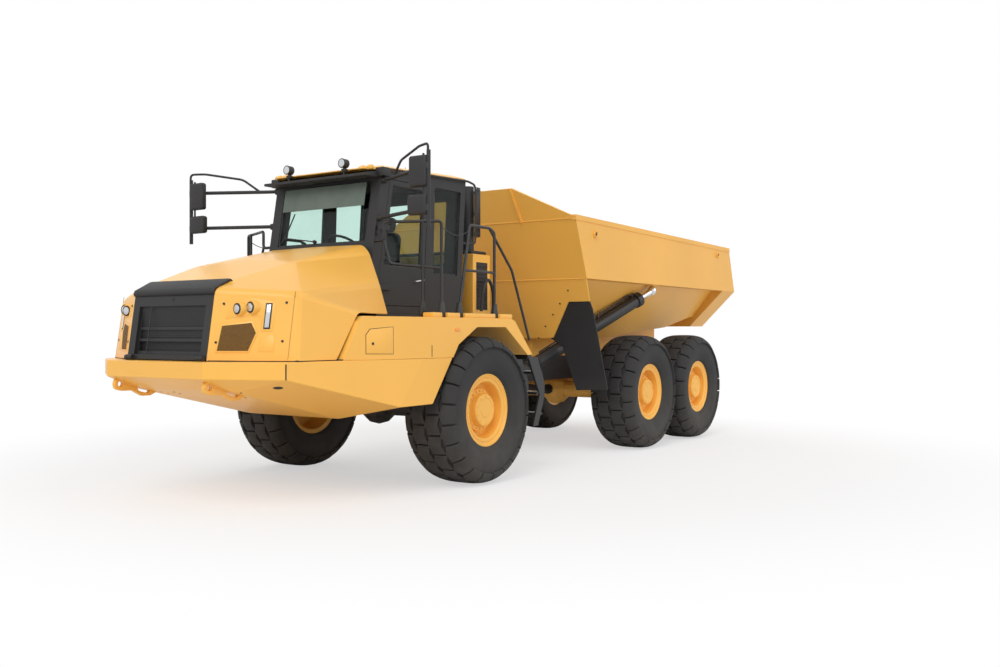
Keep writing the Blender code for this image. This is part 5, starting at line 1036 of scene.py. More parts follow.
# Cap over the hood's front edge: each column's x and fall at the ends, then its section as
# (distance behind the front axle, height, spread of x, share of the fall)
CAP_COLUMNS = ((-0.635, 0.006), (-0.6, 0), (0.6, 0), (0.635, 0.006))
CAP_SECTION = (
    (-3.215, 2.2, 1, 0),
    (-3.222, 2.235, 1, 1),
    (-3.208, 2.262, 1, 1),
    (-3.015, 2.358, 1.02, 1),
    (-2.995, 2.345, 1.02, 1),
)
CORE_FINS = 21
CORE_PITCH = 0.024


class TRUCK_OT_grille(bpy.types.Operator):
    """Black grille surround, its cap over the hood's edge and the core behind it"""

    bl_idname = "truck.grille"
    bl_label = "Grille"

    def execute(self, context):
        softened("grille", "black_plastic", 0.008)
        mesh = bmesh.new()
        rows = []
        for x, fall in CAP_COLUMNS:
            line = [truck(x * spread, y, z - fall * share) for y, z, spread, share in CAP_SECTION]
            rows.append([mesh.verts.new(point) for point in line])
        for first, second in zip(rows, rows[1:]):
            for i in range(len(CAP_SECTION) - 1):
                mesh.faces.new((first[i], second[i], second[i + 1], first[i + 1]))
        outwards(mesh)
        thicken(add_piece("grille_cap", mesh, "black_plastic", "hood", smooth=50), 0.012, 0)
        core = [block(truck(-0.53, -3.2, 1.59), truck(0.53, -3.19, 2.09))]
        for i in range(CORE_FINS):
            z = 1.6 + CORE_PITCH * i
            core.append(block(truck(-0.52, -3.206, z), truck(0.52, -3.199, z + 0.01)))
        add_piece("radiator_core", joined(core), "black_plastic", "hood")
        stay = tube((truck(-0.33, -3.292, 1.6), truck(-0.33, -3.222, 2.08)), 0.006)
        add_piece("grille_stay", stay, "black_casting", "hood")
        place, way = meet("grille", truck(0, -6, 2.16), (0, 1, 0))
        latch = pin(place - way * 0.002, way, 0.016, 0.008, 16, 0.003)
        add_piece("grille_latch", latch, "black_casting", "hood")
        return {"FINISHED"}


# Bumper outline on the left, as the hood's
BUMPER_POINTS = {
    "front_mid_top": (0, -3.467, 1.53),
    "front_mid_low": (0, -3.467, 1.36),
    "front_top": (0.752, -3.467, 1.53),
    "front_low": (0.752, -3.467, 1.36),
    "corner_top": (1.432, -3.016, 1.53),
    "corner_low": (1.432, -3.016, 1.352),
    "side_top": (1.673, -1.2, 1.53),
    "side_low": (1.64, -1.553, 1.012),
    "arch_low": (1.673, -1.03, 1.018),
    "arch_top": (1.673, -0.66, 1.53),
    "fold_mid": (0, -3.104, 1.225),
    "fold": (0.8, -3.104, 1.22),
    "pan_mid": (0, -1.532, 0.843),
    "pan": (0.724, -1.532, 0.843),
    "pan_mid_rear": (0, -1.03, 0.95),
    "pan_rear": (1.0, -1.03, 0.95),
    "deck_mid": (0, -3.267, 1.53),
    "deck_front": (0.742, -3.267, 1.53),
    "deck_corner": (1.262, -2.875, 1.53),
    "deck_rear": (1.473, -0.66, 1.53),
    "deck_side": (1.473, -1.2, 1.53),
}
BUMPER_FACES = (
    ("front_mid_top", "front_mid_low", "front_low", "front_top"),
    ("front_top", "front_low", "corner_low", "corner_top"),
    ("corner_top", "corner_low", "side_low", "side_top"),
    ("side_top", "side_low", "arch_low", "arch_top"),
    ("front_mid_low", "fold_mid", "fold", "front_low"),
    ("front_low", "fold", "corner_low"),
    ("fold_mid", "pan_mid", "pan", "fold"),
    ("fold", "pan", "corner_low"),
    ("corner_low", "pan", "side_low"),
    ("side_low", "pan", "pan_rear", "arch_low"),
    ("pan", "pan_mid", "pan_mid_rear", "pan_rear"),
    ("deck_mid", "front_mid_top", "front_top", "deck_front"),
    ("deck_front", "front_top", "corner_top", "deck_corner"),
    ("deck_corner", "corner_top", "side_top", "deck_side"),
    ("deck_side", "side_top", "arch_top", "deck_rear"),
)
# Holes and a seam by their pixels in the photograph, the holes with their radius; both are black
# plates of painted shade
BUMPER_HOLES = (
    *(((278, 388), 0.05), ((174, 392), 0.014), ((180, 393.5), 0.014)),
    *(((239, 396), 0.014), ((245.5, 397.6), 0.014), ((241, 393), 0.012)),
)
BUMPER_SEAM = oblong((285.2, 364.5), (286.6, 380.5))
SEAL_LINE = (
    *((0.64, -3.3, 1.537), (1.442, -2.88, 1.537), (1.455, -2.36, 1.537)),
    *((1.506, -2.3, 1.536), (1.664, -1.2, 1.536), (1.664, -1.12, 1.536)),
)
# The plane that clips the front frame above the bumper's belly
BELLY_PLACE = truck(0, -1.532, 0.875)
BELLY_NORMAL = (0, 0.382, 1.572)
LUG_INNER = 0.681
LUG_THICKNESS = 0.05
EYE_CENTRE = (-3.35, 1.275)
EYE_RADIUS = 0.031


def half_eye(way):
    """Half of a tow lug's eye, above (1) or below (-1) its middle, from rear to front."""
    turns = [radians(degree) for degree in range(0, 181, 20)]
    y, z = EYE_CENTRE
    return [(y + EYE_RADIUS * cos(turn), z + way * EYE_RADIUS * sin(turn)) for turn in turns]


# A tow lug's upper and lower half, which meet on the line through its eye and its slot
LUG_HALVES = (
    (
        *((-3.42, 1.275), (-3.405, 1.32), (-3.37, 1.34), (-3.3, 1.345), (-2.85, 1.24)),
        *((-2.82, 1.2), (-2.99, 1.186), (-3.0, 1.205), (-3.03, 1.216), (-3.11, 1.238)),
        *((-3.13, 1.236), (-3.14, 1.225), *half_eye(1)),
    ),
    (
        *((-3.42, 1.275), *half_eye(-1)[::-1], (-3.14, 1.225), (-3.13, 1.198)),
        *((-3.1, 1.183), (-3.02, 1.165), (-2.995, 1.17), (-2.99, 1.186), (-2.82, 1.2)),
        *((-2.9, 1.17), (-2.98, 1.135), (-3.08, 1.135), (-3.15, 1.17), (-3.2, 1.2)),
        *((-3.32, 1.2), (-3.38, 1.212), (-3.41, 1.235)),
    ),
)


class TRUCK_OT_bumper(bpy.types.Operator):
    """Rounded bumper with its seal and tow eyes, and its seams and holes as black plates of painted
    shade
    """

    bl_idname = "truck.bumper"
    bl_label = "Bumper"

    def execute(self, context):
        mesh = shell(BUMPER_POINTS, BUMPER_FACES)
        TREES["bumper"] = BVHTree.FromBMesh(mesh)
        soften(mesh, context.scene.truck_sizes.edge, 2, SKIN_ANGLE)
        bumper = add_piece("bumper_form", mesh, "body_paint", "tractor", ("bumper",))
        thicken(bumper, 0.025, -1)
        flat_faces(bumper)
        mesh = clean_copy("front_frame")
        bmesh.ops.holes_fill(mesh, edges=cut(mesh, BELLY_PLACE, BELLY_NORMAL, True))
        soften(mesh, 0.004, 1)
        flat_faces(add_piece("front_frame_form", mesh, "satin_black", "tractor", ("front_frame",)))
        black = []
        # Each hole is a black disc of painted shade
        for pixel, radius in BUMPER_HOLES:
            black += pins_at("bumper", pixel, 0.004, radius, 0.006, 24)
        hits = [spot("bumper", pixel) for pixel in BUMPER_SEAM]
        normal = sum((hit[1] for hit in hits), Vector()).normalized()
        lugs = []
        for _, sign in SIDES:
            points = [mirrored(hit[0], sign) for hit in hits]
            # The seam is a thin black plate of painted shade; the seal below is a real black tube
            black.append(plate(points, mirrored(normal, sign), 0.001, edge=0))
            black.append(tube(sided(SEAL_LINE, sign), 0.0075))
            for shape in LUG_HALVES:
                points = sided([(LUG_INNER, *point) for point in shape], sign)
                lugs.append(plate(points, (sign, 0, 0), LUG_THICKNESS, 0, 0))
                soften(lugs[-1], 0.003, 1)
        add_piece("bumper_hole_shade_and_seal", joined(black), "black_plastic", "tractor")
        add_piece("tow_lugs", joined(lugs), "body_paint", "tractor")
        return {"FINISHED"}


FENDER_SIDE = 1.673
DECK_TOP = 1.99
# On the fender's side, as (distance behind the front axle, height)
DOOR_CORNERS = ((-2.06, 1.85), (-1.7, 1.876), (-1.695, 1.589), (-2.12, 1.597), (-2.12, 1.79))
# The fender's seam, drawn as a thin black plate of painted shade
FENDER_SEAM = oblong((-1.046, 1.545), (-1.034, 1.675))
FENDER_MARKER = oblong((-0.61, 1.83), (-0.52, 1.87))
# Where each ledge on the deck starts and ends
LEDGES = ((-0.99, -0.82), (-0.72, -0.48), (-0.38, 0.25), (0.35, 0.62))
# Places of the rails' feet, and a foot's outline about its place
RAIL_FEET = ((1.42, -0.888), (1.6, -0.77), (1.6, -0.43), (1.6, 0.3))
FOOT_OUTLINE = (
    *((-0.05, DECK_TOP), (0.05, DECK_TOP), (0.05, 2.05)),
    *((0.022, 2.17), (-0.022, 2.17), (-0.05, 2.05)),
)


def side_plate(corners, x, thickness, sign, edge=0.003, grow=0.0):
    """A plate on an upright side, from (distance behind the front axle, height) corners."""
    middle = sum((Vector(corner) for corner in corners), Vector((0, 0))) / len(corners)
    points = []
    for corner in corners:
        offset = Vector(corner) - middle
        place = middle + offset * (1 + grow / offset.length)
        points.append(mirrored(tapered(truck(x, *place)), sign))
    normal = (points[1] - points[0]).cross(points[2] - points[1]).normalized()
    return plate(points, normal if normal.x * sign > 0 else -normal, thickness, edge=edge)


class TRUCK_OT_fenders(bpy.types.Operator):
    """Rounded fenders with storage doors, markers and the rails' feet"""

    bl_idname = "truck.fenders"
    bl_label = "Fenders"

    def execute(self, context):
        for side, sign in SIDES:
            softened(f"fender_{side}", "body_paint", context.scene.truck_sizes.edge, front=True)
            yellow = [side_plate(DOOR_CORNERS, FENDER_SIDE, 0.0045, sign)]
            for start, end in LEDGES:
                low, high = (start, DECK_TOP - 0.004), (end, 2.045)
                yellow.append(side_block(sign, 1.5, 1.655, low, high, 0.012))
            add_piece(f"fender_door_{side}", joined(yellow), "body_paint", "tractor")
            latch = mirrored(tapered(truck(FENDER_SIDE, -2.02, 1.7)), sign)
            # The black outline round the door and the fender's seam are thin plates of painted
            # shade in the gaps; the latch is a real pin
            seam = [
                side_plate(DOOR_CORNERS, FENDER_SIDE, 0.0012, sign, 0, 0.009),
                side_plate(FENDER_SEAM, FENDER_SIDE, 0.001, sign, 0),
                pin(latch, mirrored((1, -0.14, 0), sign), 0.016, 0.009, 16, 0.003),
            ]
            add_piece(f"fender_seam_shade_and_latch_{side}", joined(seam), "black_plastic", "tractor")
            marker = side_plate(FENDER_MARKER, FENDER_SIDE, 0.008, sign)
            add_piece(f"fender_marker_{side}", marker, "amber_lens", "tractor")
            feet = []
            for x, y in RAIL_FEET:
                outline = [(x + 0.016, y + offset, z) for offset, z in FOOT_OUTLINE]
                feet.append(plate(sided(outline, sign), (sign, 0, 0), 0.006, 0.036, 0.003))
            add_piece(f"rail_feet_{side}", joined(feet), "satin_black", "tractor")
        return {"FINISHED"}


# Handrail tubes on the left: radius, then points behind the front axle
RAILS = (
    (
        0.018,
        (
            *((0.862, -1.065, 2.88), (0.996, -1.065, 2.88), (0.996, -1.065, 3.09)),
            *((1.6, -0.77, 3.09), (1.6, -0.77, 1.992)),
        ),
    ),
    (0.016, ((0.996, -1.065, 2.88), (1.077, -1.06, 2.61), (1.6, -0.77, 2.55))),
    (0.017, ((1.42, -0.888, 1.992), (1.42, -0.888, 3.09))),
    (0.015, ((1.6, -0.77, 2.01), (1.6, 0.3, 2.01))),
    (
        0.018,
        (
            *((1.6, -0.43, 1.992), (1.6, -0.43, 2.062), (1.6, -0.22, 3.09)),
            *((1.6, 0.2, 3.09), (1.6, 0.3, 3.04), (1.6, 0.3, 1.992)),
        ),
    ),
    (0.016, ((1.6, -0.33, 2.55), (1.6, 0.3, 2.55))),
    (0.017, ((1.6, 0.19, 3.09), (1.6, 0.69, 2.6), (1.6, 1.1, 1.72))),
)
CHAIN_LINKS = 14
CHAIN_SAG = 0.07
STEP_HEIGHTS = (0.765, 1.035, 1.305)
STEP_BARS = 12
BAR_PITCH = 0.02
BAR_SIZE = 0.006


class TRUCK_OT_rails(bpy.types.Operator):
    """Bent handrails and the steps"""

    bl_idname = "truck.rails"
    bl_label = "Rails and steps"

    def execute(self, context):
        for side, sign in SIDES:
            rails = joined([bent(line, sign, 0.045, radius) for radius, line in RAILS])
            add_piece(f"rails_{side}", rails, "satin_black", "tractor", (f"handrail_{side}",))
            chain = []
            for i in range(CHAIN_LINKS + 1):
                share = i / CHAIN_LINKS
                sag = CHAIN_SAG * (1 - (2 * share - 1) ** 2)
                chain.append((1.6, -0.74 + 0.5 * share, 3.02 - sag))
            chain = tube(sided(chain, sign), 0.005, False, 6)
            add_piece(f"gate_chain_{side}", chain, "satin_black", "tractor")
        softened("ladder", "satin_black", 0.004)
        bars = []
        for z in STEP_HEIGHTS:
            for i in range(STEP_BARS):
                x = 1.39 + BAR_PITCH * i
                bars.append(block(truck(x, 1.25, z), truck(x + BAR_SIZE, 1.37, z + BAR_SIZE)))
        add_piece("step_treads", joined(bars), "zinc", "tractor")
        return {"FINISHED"}


WORK_LAMP = (0.453, -1.19, 3.8)
# Drip rail along the roof's edge and down the cab's rear corner, on the left
DRIP_RAIL = (
    *((0.885, -0.9, 3.735), (0.885, 0.74, 3.79), (0.885, 0.9, 3.76)),
    *((0.885, 0.9, 2.98), (0.82, 0.62, 2.98)),
)
# The wiper on the windscreen, as (x, height): its pivot, the arm's end and the blade's two ends
WIPER = ((-0.1, 2.91), (-0.62, 2.98), (-0.69, 2.9), (-0.5, 3.28))
DOOR_HANDLE = ((0.858, -0.2, 2.46), (0.9, -0.2, 2.46), (0.9, -0.34, 2.44), (0.858, -0.34, 2.44))


class TRUCK_OT_cab(bpy.types.Operator):
    """Cab shell, door, roof, visor, seals, lamps and wiper"""

    bl_idname = "truck.cab"
    bl_label = "Cab"

    def execute(self, context):
        trim = context.scene.truck_sizes.trim_edge
        softened("cab_shell", "black_plastic", trim)
        softened("door", "black_plastic", trim)
        softened("visor", "black_plastic", 0.004)
        softened("cab_roof", "body_paint", 0.015, 3)
        for node in NODE_FINISHES["pane_glass"]:
            seal = tube(rounded_loop(outline_of(node), 0.05), 0.013, True)
            add_piece(f"{node}_seal", seal, "black_plastic", body_of(node))
        lenses, black, covers = [], [], []
        foot, _ = meet("cab_roof", truck(0.6, -0.2, 5), (0, 0, -1))
        foot.z -= 0.004
        black.append(tube((foot, Vector((foot.x, foot.y, 3.868))), 0.0045))
        black.append(pin(foot, (0, 0, 1), 0.014, 0.016, 16, 0.004))
        for _, sign in SIDES:
            centre = mirrored(truck(*WORK_LAMP), sign)
            x = centre.x
            lenses.append(pin(centre, (0, -1, 0), 0.046, 0.006, 28, 0.002))
            black.append(ring(centre, (0, -1, 0), 0.05, 0.007))
            black.append(block(truck(x - 0.03, -1.17, 3.7), truck(x + 0.03, -1.12, 3.74), 0.006))
            black.append(bent(DRIP_RAIL, sign, 0.06, 0.014, 10))
            black.append(side_block(sign, 0.8, 0.93, (-1.0, 3.64), (-0.86, 3.745), 0.012))
            for x in (0.63, 0.75):
                place = truck(sign * x, -1.03, 3.738)
                covers.append(pin(place, (0, -0.5, 1), 0.05, 0.035, 24, 0.02))
        add_piece("work_lamp_lenses", joined(lenses), "lens_glass", "tractor")
        add_piece("cab_trim", joined(black), "black_plastic", "tractor")
        add_piece("roof_covers", joined(covers), "body_paint", "tractor")
        blind = block(truck(-0.66, -1.01, 3.3), truck(0.68, -1.004, 3.58), 0.002)
        turn = Matrix.Rotation(radians(-9.9), 3, "X")
        bmesh.ops.rotate(blind, cent=truck(0, -1, 3.58), matrix=turn, verts=blind.verts)
        add_piece("sun_blind", blind, "blind_cloth", "tractor")
        hits = [meet("windscreen", truck(x, -5, z), (0, 1, 0)) for x, z in WIPER]
        way = hits[0][1]
        pivot, tip, low, high = (hit[0] for hit in hits)
        wiper = [
            pin(pivot - way * 0.002, way, 0.022, 0.035, 20, 0.005),
            tube([point + way * 0.028 for point in (pivot, tip)], 0.007),
            tube([point + way * 0.012 for point in (low, tip, high)], 0.008),
            tube((tip + way * 0.01, tip + way * 0.03), 0.006),
        ]
        add_piece("wiper", joined(wiper), "black_plastic", "tractor")
        add_piece("door_handle", bent(DOOR_HANDLE, 1, 0.015, 0.009, 10), "zinc", "door")
        return {"FINISHED"}


# Pads of the seat: name, two corners and lean in degrees
PADS = (
    ("seat_cushion", (-0.26, -0.4, 2.5), (0.26, 0.1, 2.625), 0.0),
    ("seat_back", (-0.25, -0.02, 2.6), (0.25, 0.1, 3.12), -10.0),
    ("seat_headrest", (-0.14, -0.01, 3.13), (0.14, 0.08, 3.32), -10.0),
)
BELLOWS = 5


class TRUCK_OT_cab_inside(bpy.types.Operator):
    """Padded seat, its base and arms, and the controls"""

    bl_idname = "truck.cab_inside"
    bl_label = "Cab inside"

    def execute(self, context):
        for name, low, high, lean in PADS:
            mesh = cushion(truck(*low), truck(*high))
            turn = Matrix.Rotation(radians(lean), 3, "X")
            bmesh.ops.rotate(mesh, cent=truck(0, 0.04, 2.6), matrix=turn, verts=mesh.verts)
            piece = add_piece(name, mesh, "seat_cloth", "tractor", ("seat",), 60)
        base = [block(truck(-0.12, -0.27, 2.101), truck(0.12, -0.03, 2.5), 0.02)]
        for i in range(BELLOWS):
            z = 2.2 + 0.05 * i
            base.append(block(truck(-0.15, -0.3, z), truck(0.15, 0.0, z + 0.03), 0.012))
        for _, sign in SIDES:
            base.append(side_block(sign, 0.27, 0.33, (-0.3, 2.72), (0.02, 2.77), 0.015))
            base.append(side_block(sign, 0.27, 0.33, (-0.02, 2.5), (0.03, 2.74), 0.012))
        add_piece("seat_base", joined(base), "black_plastic", "tractor")
        softened("controls", "black_plastic", 0.003)
        return {"FINISHED"}


# Mirror tubes on the left, as the rails; the arms' feet (distance back, height) and the heads
# (lowest, highest, inner side)
MIRROR_TUBES = (
    (0.022, ((0.86, -0.92, 3.6), (1.0, -0.97, 3.6), (1.915, -1.43, 3.6))),
    (0.022, ((0.86, -1.0, 3.15), (1.0, -1.05, 3.15), (1.915, -1.43, 3.15))),
    (0.023, ((1.93, -1.43, 2.95), (1.93, -1.43, 3.77))),
    (
        0.014,
        (
            *((1.1, -1.02, 3.6), (1.3, -1.13, 3.76), (1.75, -1.36, 3.84)),
            *((1.93, -1.44, 3.84), (1.93, -1.44, 3.7)),
        ),
    ),
    (0.012, ((1.86, -1.43, 3.74), (1.86, -1.43, 3.1))),
)
MIRROR_FEET = ((-0.92, 3.6), (-1.0, 3.15))
MIRROR_HEADS = ((3.38, 3.72, 1.68), (3.08, 3.3, 1.66))
MIRROR_OUTER = 1.92
GLASS_BORDER = 0.02


class TRUCK_OT_mirrors(bpy.types.Operator):
    """Mirror frames with rounded heads and silvered glass"""

    bl_idname = "truck.mirrors"
    bl_label = "Mirrors"

    def execute(self, context):
        for side, sign in SIDES:
            black = [bent(line, sign, 0.05, radius) for radius, line in MIRROR_TUBES]
            glass = []
            for low, high, inner in MIRROR_HEADS:
                corners = ((-1.475, low), (-1.385, high))
                black.append(side_block(sign, inner, MIRROR_OUTER, *corners, 0.03, 4))
                corners = ((-1.387, low + GLASS_BORDER), (-1.3835, high - GLASS_BORDER))
                across = (inner + GLASS_BORDER, MIRROR_OUTER - GLASS_BORDER)
                glass.append(side_block(sign, *across, *corners))
            for y, z in MIRROR_FEET:
                joint, foot = sided(((1.915, -1.43, z - 0.035), (0.86, y, z)), sign)
                black.append(pin(joint, (0, 0, 1), 0.034, 0.07, 16, 0.004))
                black.append(pin(foot, (sign, 0, 0), 0.04, 0.06, 16, 0.006))
            node = f"mirror_{side}"
            add_piece(f"mirror_frame_{side}", joined(black), "black_plastic", "tractor", (node,))
            add_piece(f"mirror_glass_{side}", joined(glass), "mirror_glass", "tractor")
        return {"FINISHED"}


LOUVRE_PLATE = oblong((1.07, 2.12), (1.33, 2.76))
LOUVRE_SLATS = 12
INTAKE_HOSE = (
    *((0.84, 1.1, 2.1), (0.86, 1.12, 2.4), (0.87, 1.22, 2.56)),
    *((0.87, 1.34, 2.4), (0.86, 1.36, 2.06)),
)
PIPE_AXIS = truck(0.55, 1.2, 0)
# The pipe's section, as (radius, height)
PIPE_PROFILE = (
    *((0.0, 2.91), (0.08, 2.91), (0.08, 3.785), (0.078, 3.8)),
    *((0.07, 3.8), (0.068, 3.785), (0.068, 3.5), (0.0, 3.5)),
)


def about_pipe(radius, degrees, z):
    """A point round the exhaust pipe."""
    turn = radians(degrees)
    return PIPE_AXIS + Vector((radius * cos(turn), radius * sin(turn), z))


class TRUCK_OT_exhaust(bpy.types.Operator):
    """Box behind the cab, its louvre, the pipe and the perforated guard"""

    bl_idname = "truck.exhaust"
    bl_label = "Exhaust"

    def execute(self, context):
        softened("exhaust_box", "body_paint", context.scene.truck_sizes.edge)
        black = []
        for _, sign in SIDES:
            black.append(side_plate(LOUVRE_PLATE, 0.78, 0.001, sign, 0))
            for i in range(LOUVRE_SLATS):
                z = 2.15 + 0.05 * i
                black.append(side_block(sign, 0.776, 0.79, (1.08, z), (1.32, z + 0.02), 0.004))
        black.append(block(truck(-0.74, 1.02, 2.866), truck(0.74, 1.38, 2.92), 0.03, 3))
        black.append(tube(rounded(sided(INTAKE_HOSE, 1), 0.09, 6), 0.022, False, 12))
        add_piece("exhaust_louvre", joined(black), "black_plastic", "tractor")
        line = [about_pipe(radius, 0, z) for radius, z in PIPE_PROFILE]
        pipe = turned(line, PIPE_AXIS, (0, 0, 1), 40)
        bmesh.ops.remove_doubles(pipe, verts=pipe.verts, dist=MERGE)
        outwards(pipe)
        add_piece("exhaust_pipe", pipe, "black_casting", "tractor", ("exhaust_stack",))
        line = [about_pipe(0.168, -15, z) for z in (3.12, 3.78)]
        guard = turned(line, PIPE_AXIS, (0, 0, 1), 28, radians(210))
        thicken(add_piece("exhaust_guard", guard, "guard_sheet", "tractor"), 0.004, 0)
        straps = []
        for z in (3.16, 3.45, 3.74):
            straps.append(tube([about_pipe(0.165, turn, z) for turn in range(-16, 197, 10)], 0.009))
            for turn in (60, 120):
                straps.append(tube([about_pipe(reach, turn, z) for reach in (0.07, 0.166)], 0.008))
        add_piece("guard_straps", joined(straps), "satin_black", "tractor")
        return {"FINISHED"}


# Lifting holes on the bed's sides, as (distance behind the front axle, height); each is a black
# disc of painted shade in a yellow ring
BOSSES = ((2.744, 3.22), (7.344, 3.22))
# Bolts along the bed's front flange, by their pixels in the photograph
FLANGE_BOLTS = ((560, 303.5), (553, 314.5), (545.6, 326.2), (538.7, 337.9), (568, 290.4))
WELD_HEIGHTS = (3.4, 2.58)
WELD_POINTS = 13


class TRUCK_OT_bed(bpy.types.Operator):
    """Bed plates with rounded edges, weld lines, bolts, and lifting holes as black discs of painted
    shade
    """

    bl_idname = "truck.bed"
    bl_label = "Bed"

    def execute(self, context):
        softened("bed", "bed_paint", 0.008)
        welds = []
        for z in WELD_HEIGHTS:
            starts = [truck(-1.62 + 0.27 * i, -4, z) for i in range(WELD_POINTS)]
            welds.append(tube([meet("bed", start, (0, 1, 0))[0] for start in starts], 0.009))
        add_piece("bed_welds", joined(welds), "bed_paint", "bed")
        black, yellow = [], []
        for _, sign in SIDES:
            out = Vector((sign, 0, 0))
            for y, z in BOSSES:
                centre, _ = meet("bed", truck(sign * 3, y, z), -out)
                # A black disc of painted shade stands for the hole
                black.append(pin(centre - out * 0.004, out, 0.027, 0.005, 24))
                yellow.append(ring(centre, out, 0.042, 0.01))
        for pixel in FLANGE_BOLTS:
            black += pins_at("bed", pixel, 0.002, 0.013, 0.012, 6, 0.002)
        add_piece("bed_bolts_and_hole_shade", joined(black), "satin_black", "bed")
        add_piece("bed_bosses", joined(yellow), "bed_paint", "bed")
        for side, _ in SIDES:
            softened(f"mud_flap_{side}", "flap_sheet", 0.003)
        return {"FINISHED"}


# The left tipping cylinder: its two ends, and the barrel's end from the eye
HOIST_BASE = (0.7, 2.41, 1.27)
HOIST_EYE = (1.52, 4.94, 2.49)
BARREL_END = 0.326
# The hose, as (distance back from the barrel's end, distance above the axis)
HOIST_HOSE = ((0.14, 0.12), (0.2, 0.15), (0.5, 0.135), (0.95, 0.135), (1.6, 0.13))


class TRUCK_OT_cylinders(bpy.types.Operator):
    """Glands, ports and hoses of the tipping cylinders"""

    bl_idname = "truck.cylinders"
    bl_label = "Cylinders"

    def execute(self, context):
        for side, sign in SIDES:
            base, eye = sided((HOIST_BASE, HOIST_EYE), sign)
            run = (eye - base).normalized()
            up = run.cross(Vector((0, 0, 1)).cross(run)).normalized()
            head = eye - run * BARREL_END
            body = f"hoist_barrel_{side}"
            softened(body, "satin_black", 0.006)
            hose = [head - run * reach + up * height for reach, height in HOIST_HOSE]
            hose.append(base + run * 0.35 + up * 0.12)
            black = [
                pin(head - run * 0.075, run, 0.107, 0.05, 32, 0.006),
                pin(head - run * 0.001, run, 0.072, 0.02, 32, 0.006),
                pin(base + run * 0.22, run, 0.104, 0.03, 32, 0.006),
                tube(rounded(hose, 0.05), 0.013, False, 10),
            ]
            for reach in (0.14, 0.95):
                black.append(pin(head - run * reach + up * 0.08, up, 0.026, 0.05, 6, 0.004))
            add_piece(f"hoist_fittings_{side}", joined(black), "satin_black", body)
        return {"FINISHED"}


FLOOR_HALF_WIDTH = 60
FLOOR_DROP = 0.002
# Reach from the origin where the floor starts to fade and is white
FADE_START = 4.5
FADE_END = 9.0
SKY_STRENGTH = 0.5
# Name, strength, soft angle and turn of each light, in degrees
LIGHTS = (
    ("key_light", 1.35, 40, (48, 0, 20)),
    ("side_light", 0.6, 60, (62, 0, 105)),
    ("back_light", 0.35, 60, (60, 0, 220)),
)


def floor_finish(colours):
    """Pale floor that fades into the white surroundings away from the truck."""
    material, tree, shader = blank("studio_floor", 0.9)
    connect(tree, shader, {"Base Color": (*colours.floor, 1), "Specular IOR Level": 0.0})
    place = wire(tree, "ShaderNodeTexCoord", {}).outputs["Object"]
    reach = wire(tree, "ShaderNodeVectorMath", {0: place}, operation="LENGTH").outputs["Value"]
    ends = {"From Min": FADE_START, "From Max": FADE_END, "To Min": 0.55}
    fade = remap(tree, reach, ends, interpolation_type="SMOOTHSTEP")
    path = wire(tree, "ShaderNodeLightPath", {}).outputs
    glow = wire(tree, "ShaderNodeEmission", {"Color": (1, 1, 1, 1), "Strength": 1.0})
    shaders = {
        0: sums(tree, "MULTIPLY", path["Is Camera Ray"], fade),
        1: tree.nodes["Principled BSDF"].outputs["BSDF"],
        2: glow.outputs["Emission"],
    }
    mix = wire(tree, "ShaderNodeMixShader", shaders)
    tree.links.new(mix.outputs[0], tree.nodes["Material Output"].inputs["Surface"])
    return material


def surroundings(scene):
    """White for the camera, glass and gloss, and a softer sky for light."""
    world = bpy.data.worlds.new("studio_world")
    world.use_nodes = True
    tree = world.node_tree
    path = wire(tree, "ShaderNodeLightPath", {}).outputs
    seen = sums(tree, "MAXIMUM", path["Is Camera Ray"], path["Is Glossy Ray"])
    shown = sums(tree, "MAXIMUM", seen, path["Is Transmission Ray"])
    strength = remap(tree, shown, {"To Min": SKY_STRENGTH, "To Max": 1.0})
    sky = tree.nodes["Background"].inputs
    connect(tree, sky, {"Color": (1, 1, 1, 1), "Strength": strength})
    scene.world = world


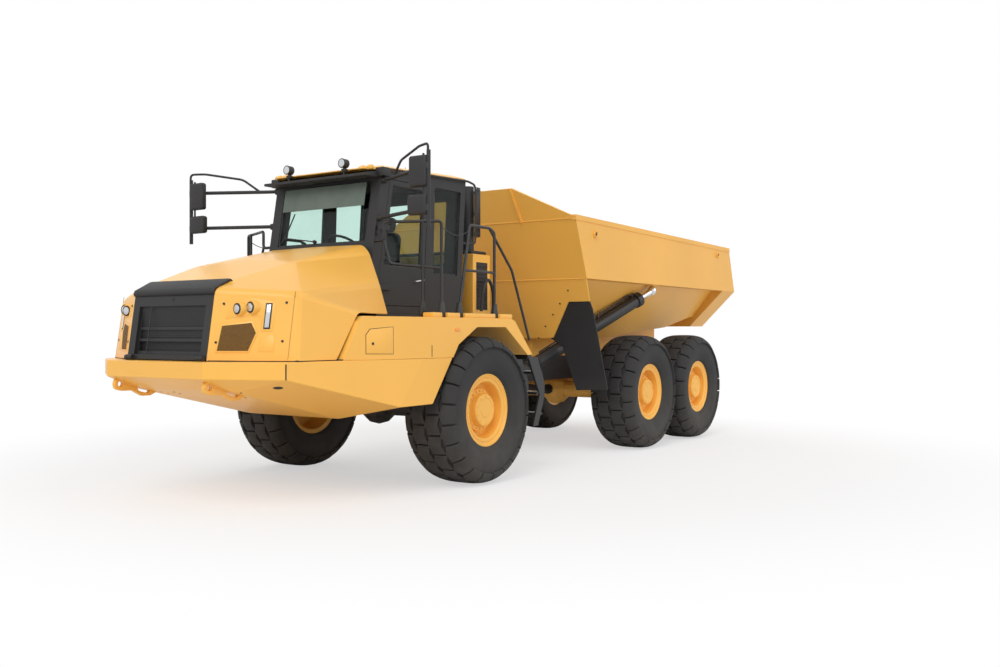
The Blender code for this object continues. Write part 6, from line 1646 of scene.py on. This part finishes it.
class TRUCK_OT_studio(bpy.types.Operator):
    """Pale floor, soft lights, white surroundings and the camera"""

    bl_idname = "truck.studio"
    bl_label = "Studio"

    def execute(self, context):
        scene = context.scene
        mesh = bmesh.new()
        bmesh.ops.create_grid(mesh, x_segments=1, y_segments=1, size=FLOOR_HALF_WIDTH)
        bmesh.ops.translate(mesh, vec=(0, 0, -FLOOR_DROP), verts=mesh.verts)
        data = bpy.data.meshes.new("studio_floor")
        mesh.to_mesh(data)
        mesh.free()
        data.materials.append(floor_finish(scene.truck_colours))
        floor = bpy.data.objects.new("studio_floor", data)
        scene.collection.objects.link(floor)
        for name, strength, angle, turn in LIGHTS:
            light = bpy.data.lights.new(name, "SUN")
            light.energy = strength
            light.angle = radians(angle)
            lamp = bpy.data.objects.new(name, light)
            lamp.rotation_euler = [radians(value) for value in turn]
            scene.collection.objects.link(lamp)
        surroundings(scene)
        lens = bpy.data.cameras.new("photo_camera")
        lens.lens = CAMERA_LENS
        lens.sensor_width = CAMERA_SENSOR
        lens.clip_end = 200
        camera = bpy.data.objects.new("photo_camera", lens)
        camera.location = CAMERA_PLACE
        camera.rotation_euler = CAMERA_TURN
        scene.collection.objects.link(camera)
        scene.camera = camera
        scene.view_settings.view_transform = "Standard"
        return {"FINISHED"}


OPERATORS = (
    TRUCK_OT_finishes,
    TRUCK_OT_tyres,
    TRUCK_OT_rims,
    TRUCK_OT_hood,
    TRUCK_OT_grille,
    TRUCK_OT_bumper,
    TRUCK_OT_fenders,
    TRUCK_OT_rails,
    TRUCK_OT_cab,
    TRUCK_OT_cab_inside,
    TRUCK_OT_mirrors,
    TRUCK_OT_exhaust,
    TRUCK_OT_bed,
    TRUCK_OT_cylinders,
    TRUCK_OT_studio,
)


class TRUCK_PT_panel(bpy.types.Panel):
    """The truck's pieces, in the 3D view's sidebar"""

    bl_idname = "TRUCK_PT_panel"
    bl_label = "Articulated Dump Truck"
    bl_space_type = "VIEW_3D"
    bl_region_type = "UI"
    bl_category = "Truck"

    def draw(self, context):
        for group in (context.scene.truck_sizes, context.scene.truck_colours):
            for name in group.__annotations__:
                self.layout.prop(group, name)
        for operator in OPERATORS:
            self.layout.operator(operator.bl_idname)


CLASSES = (TruckSizes, TruckColours, *OPERATORS, TRUCK_PT_panel)


def register():
    for entry in CLASSES:
        bpy.utils.register_class(entry)
    bpy.types.Scene.truck_sizes = bpy.props.PointerProperty(type=TruckSizes)
    bpy.types.Scene.truck_colours = bpy.props.PointerProperty(type=TruckColours)


def unregister():
    del bpy.types.Scene.truck_colours
    del bpy.types.Scene.truck_sizes
    for entry in reversed(CLASSES):
        bpy.utils.unregister_class(entry)


def main():
    """Dresses the whole truck."""
    register()
    for operator in OPERATORS:
        group, name = operator.bl_idname.split(".")
        getattr(getattr(bpy.ops, group), name)()


if __name__ == "__main__":
    main()
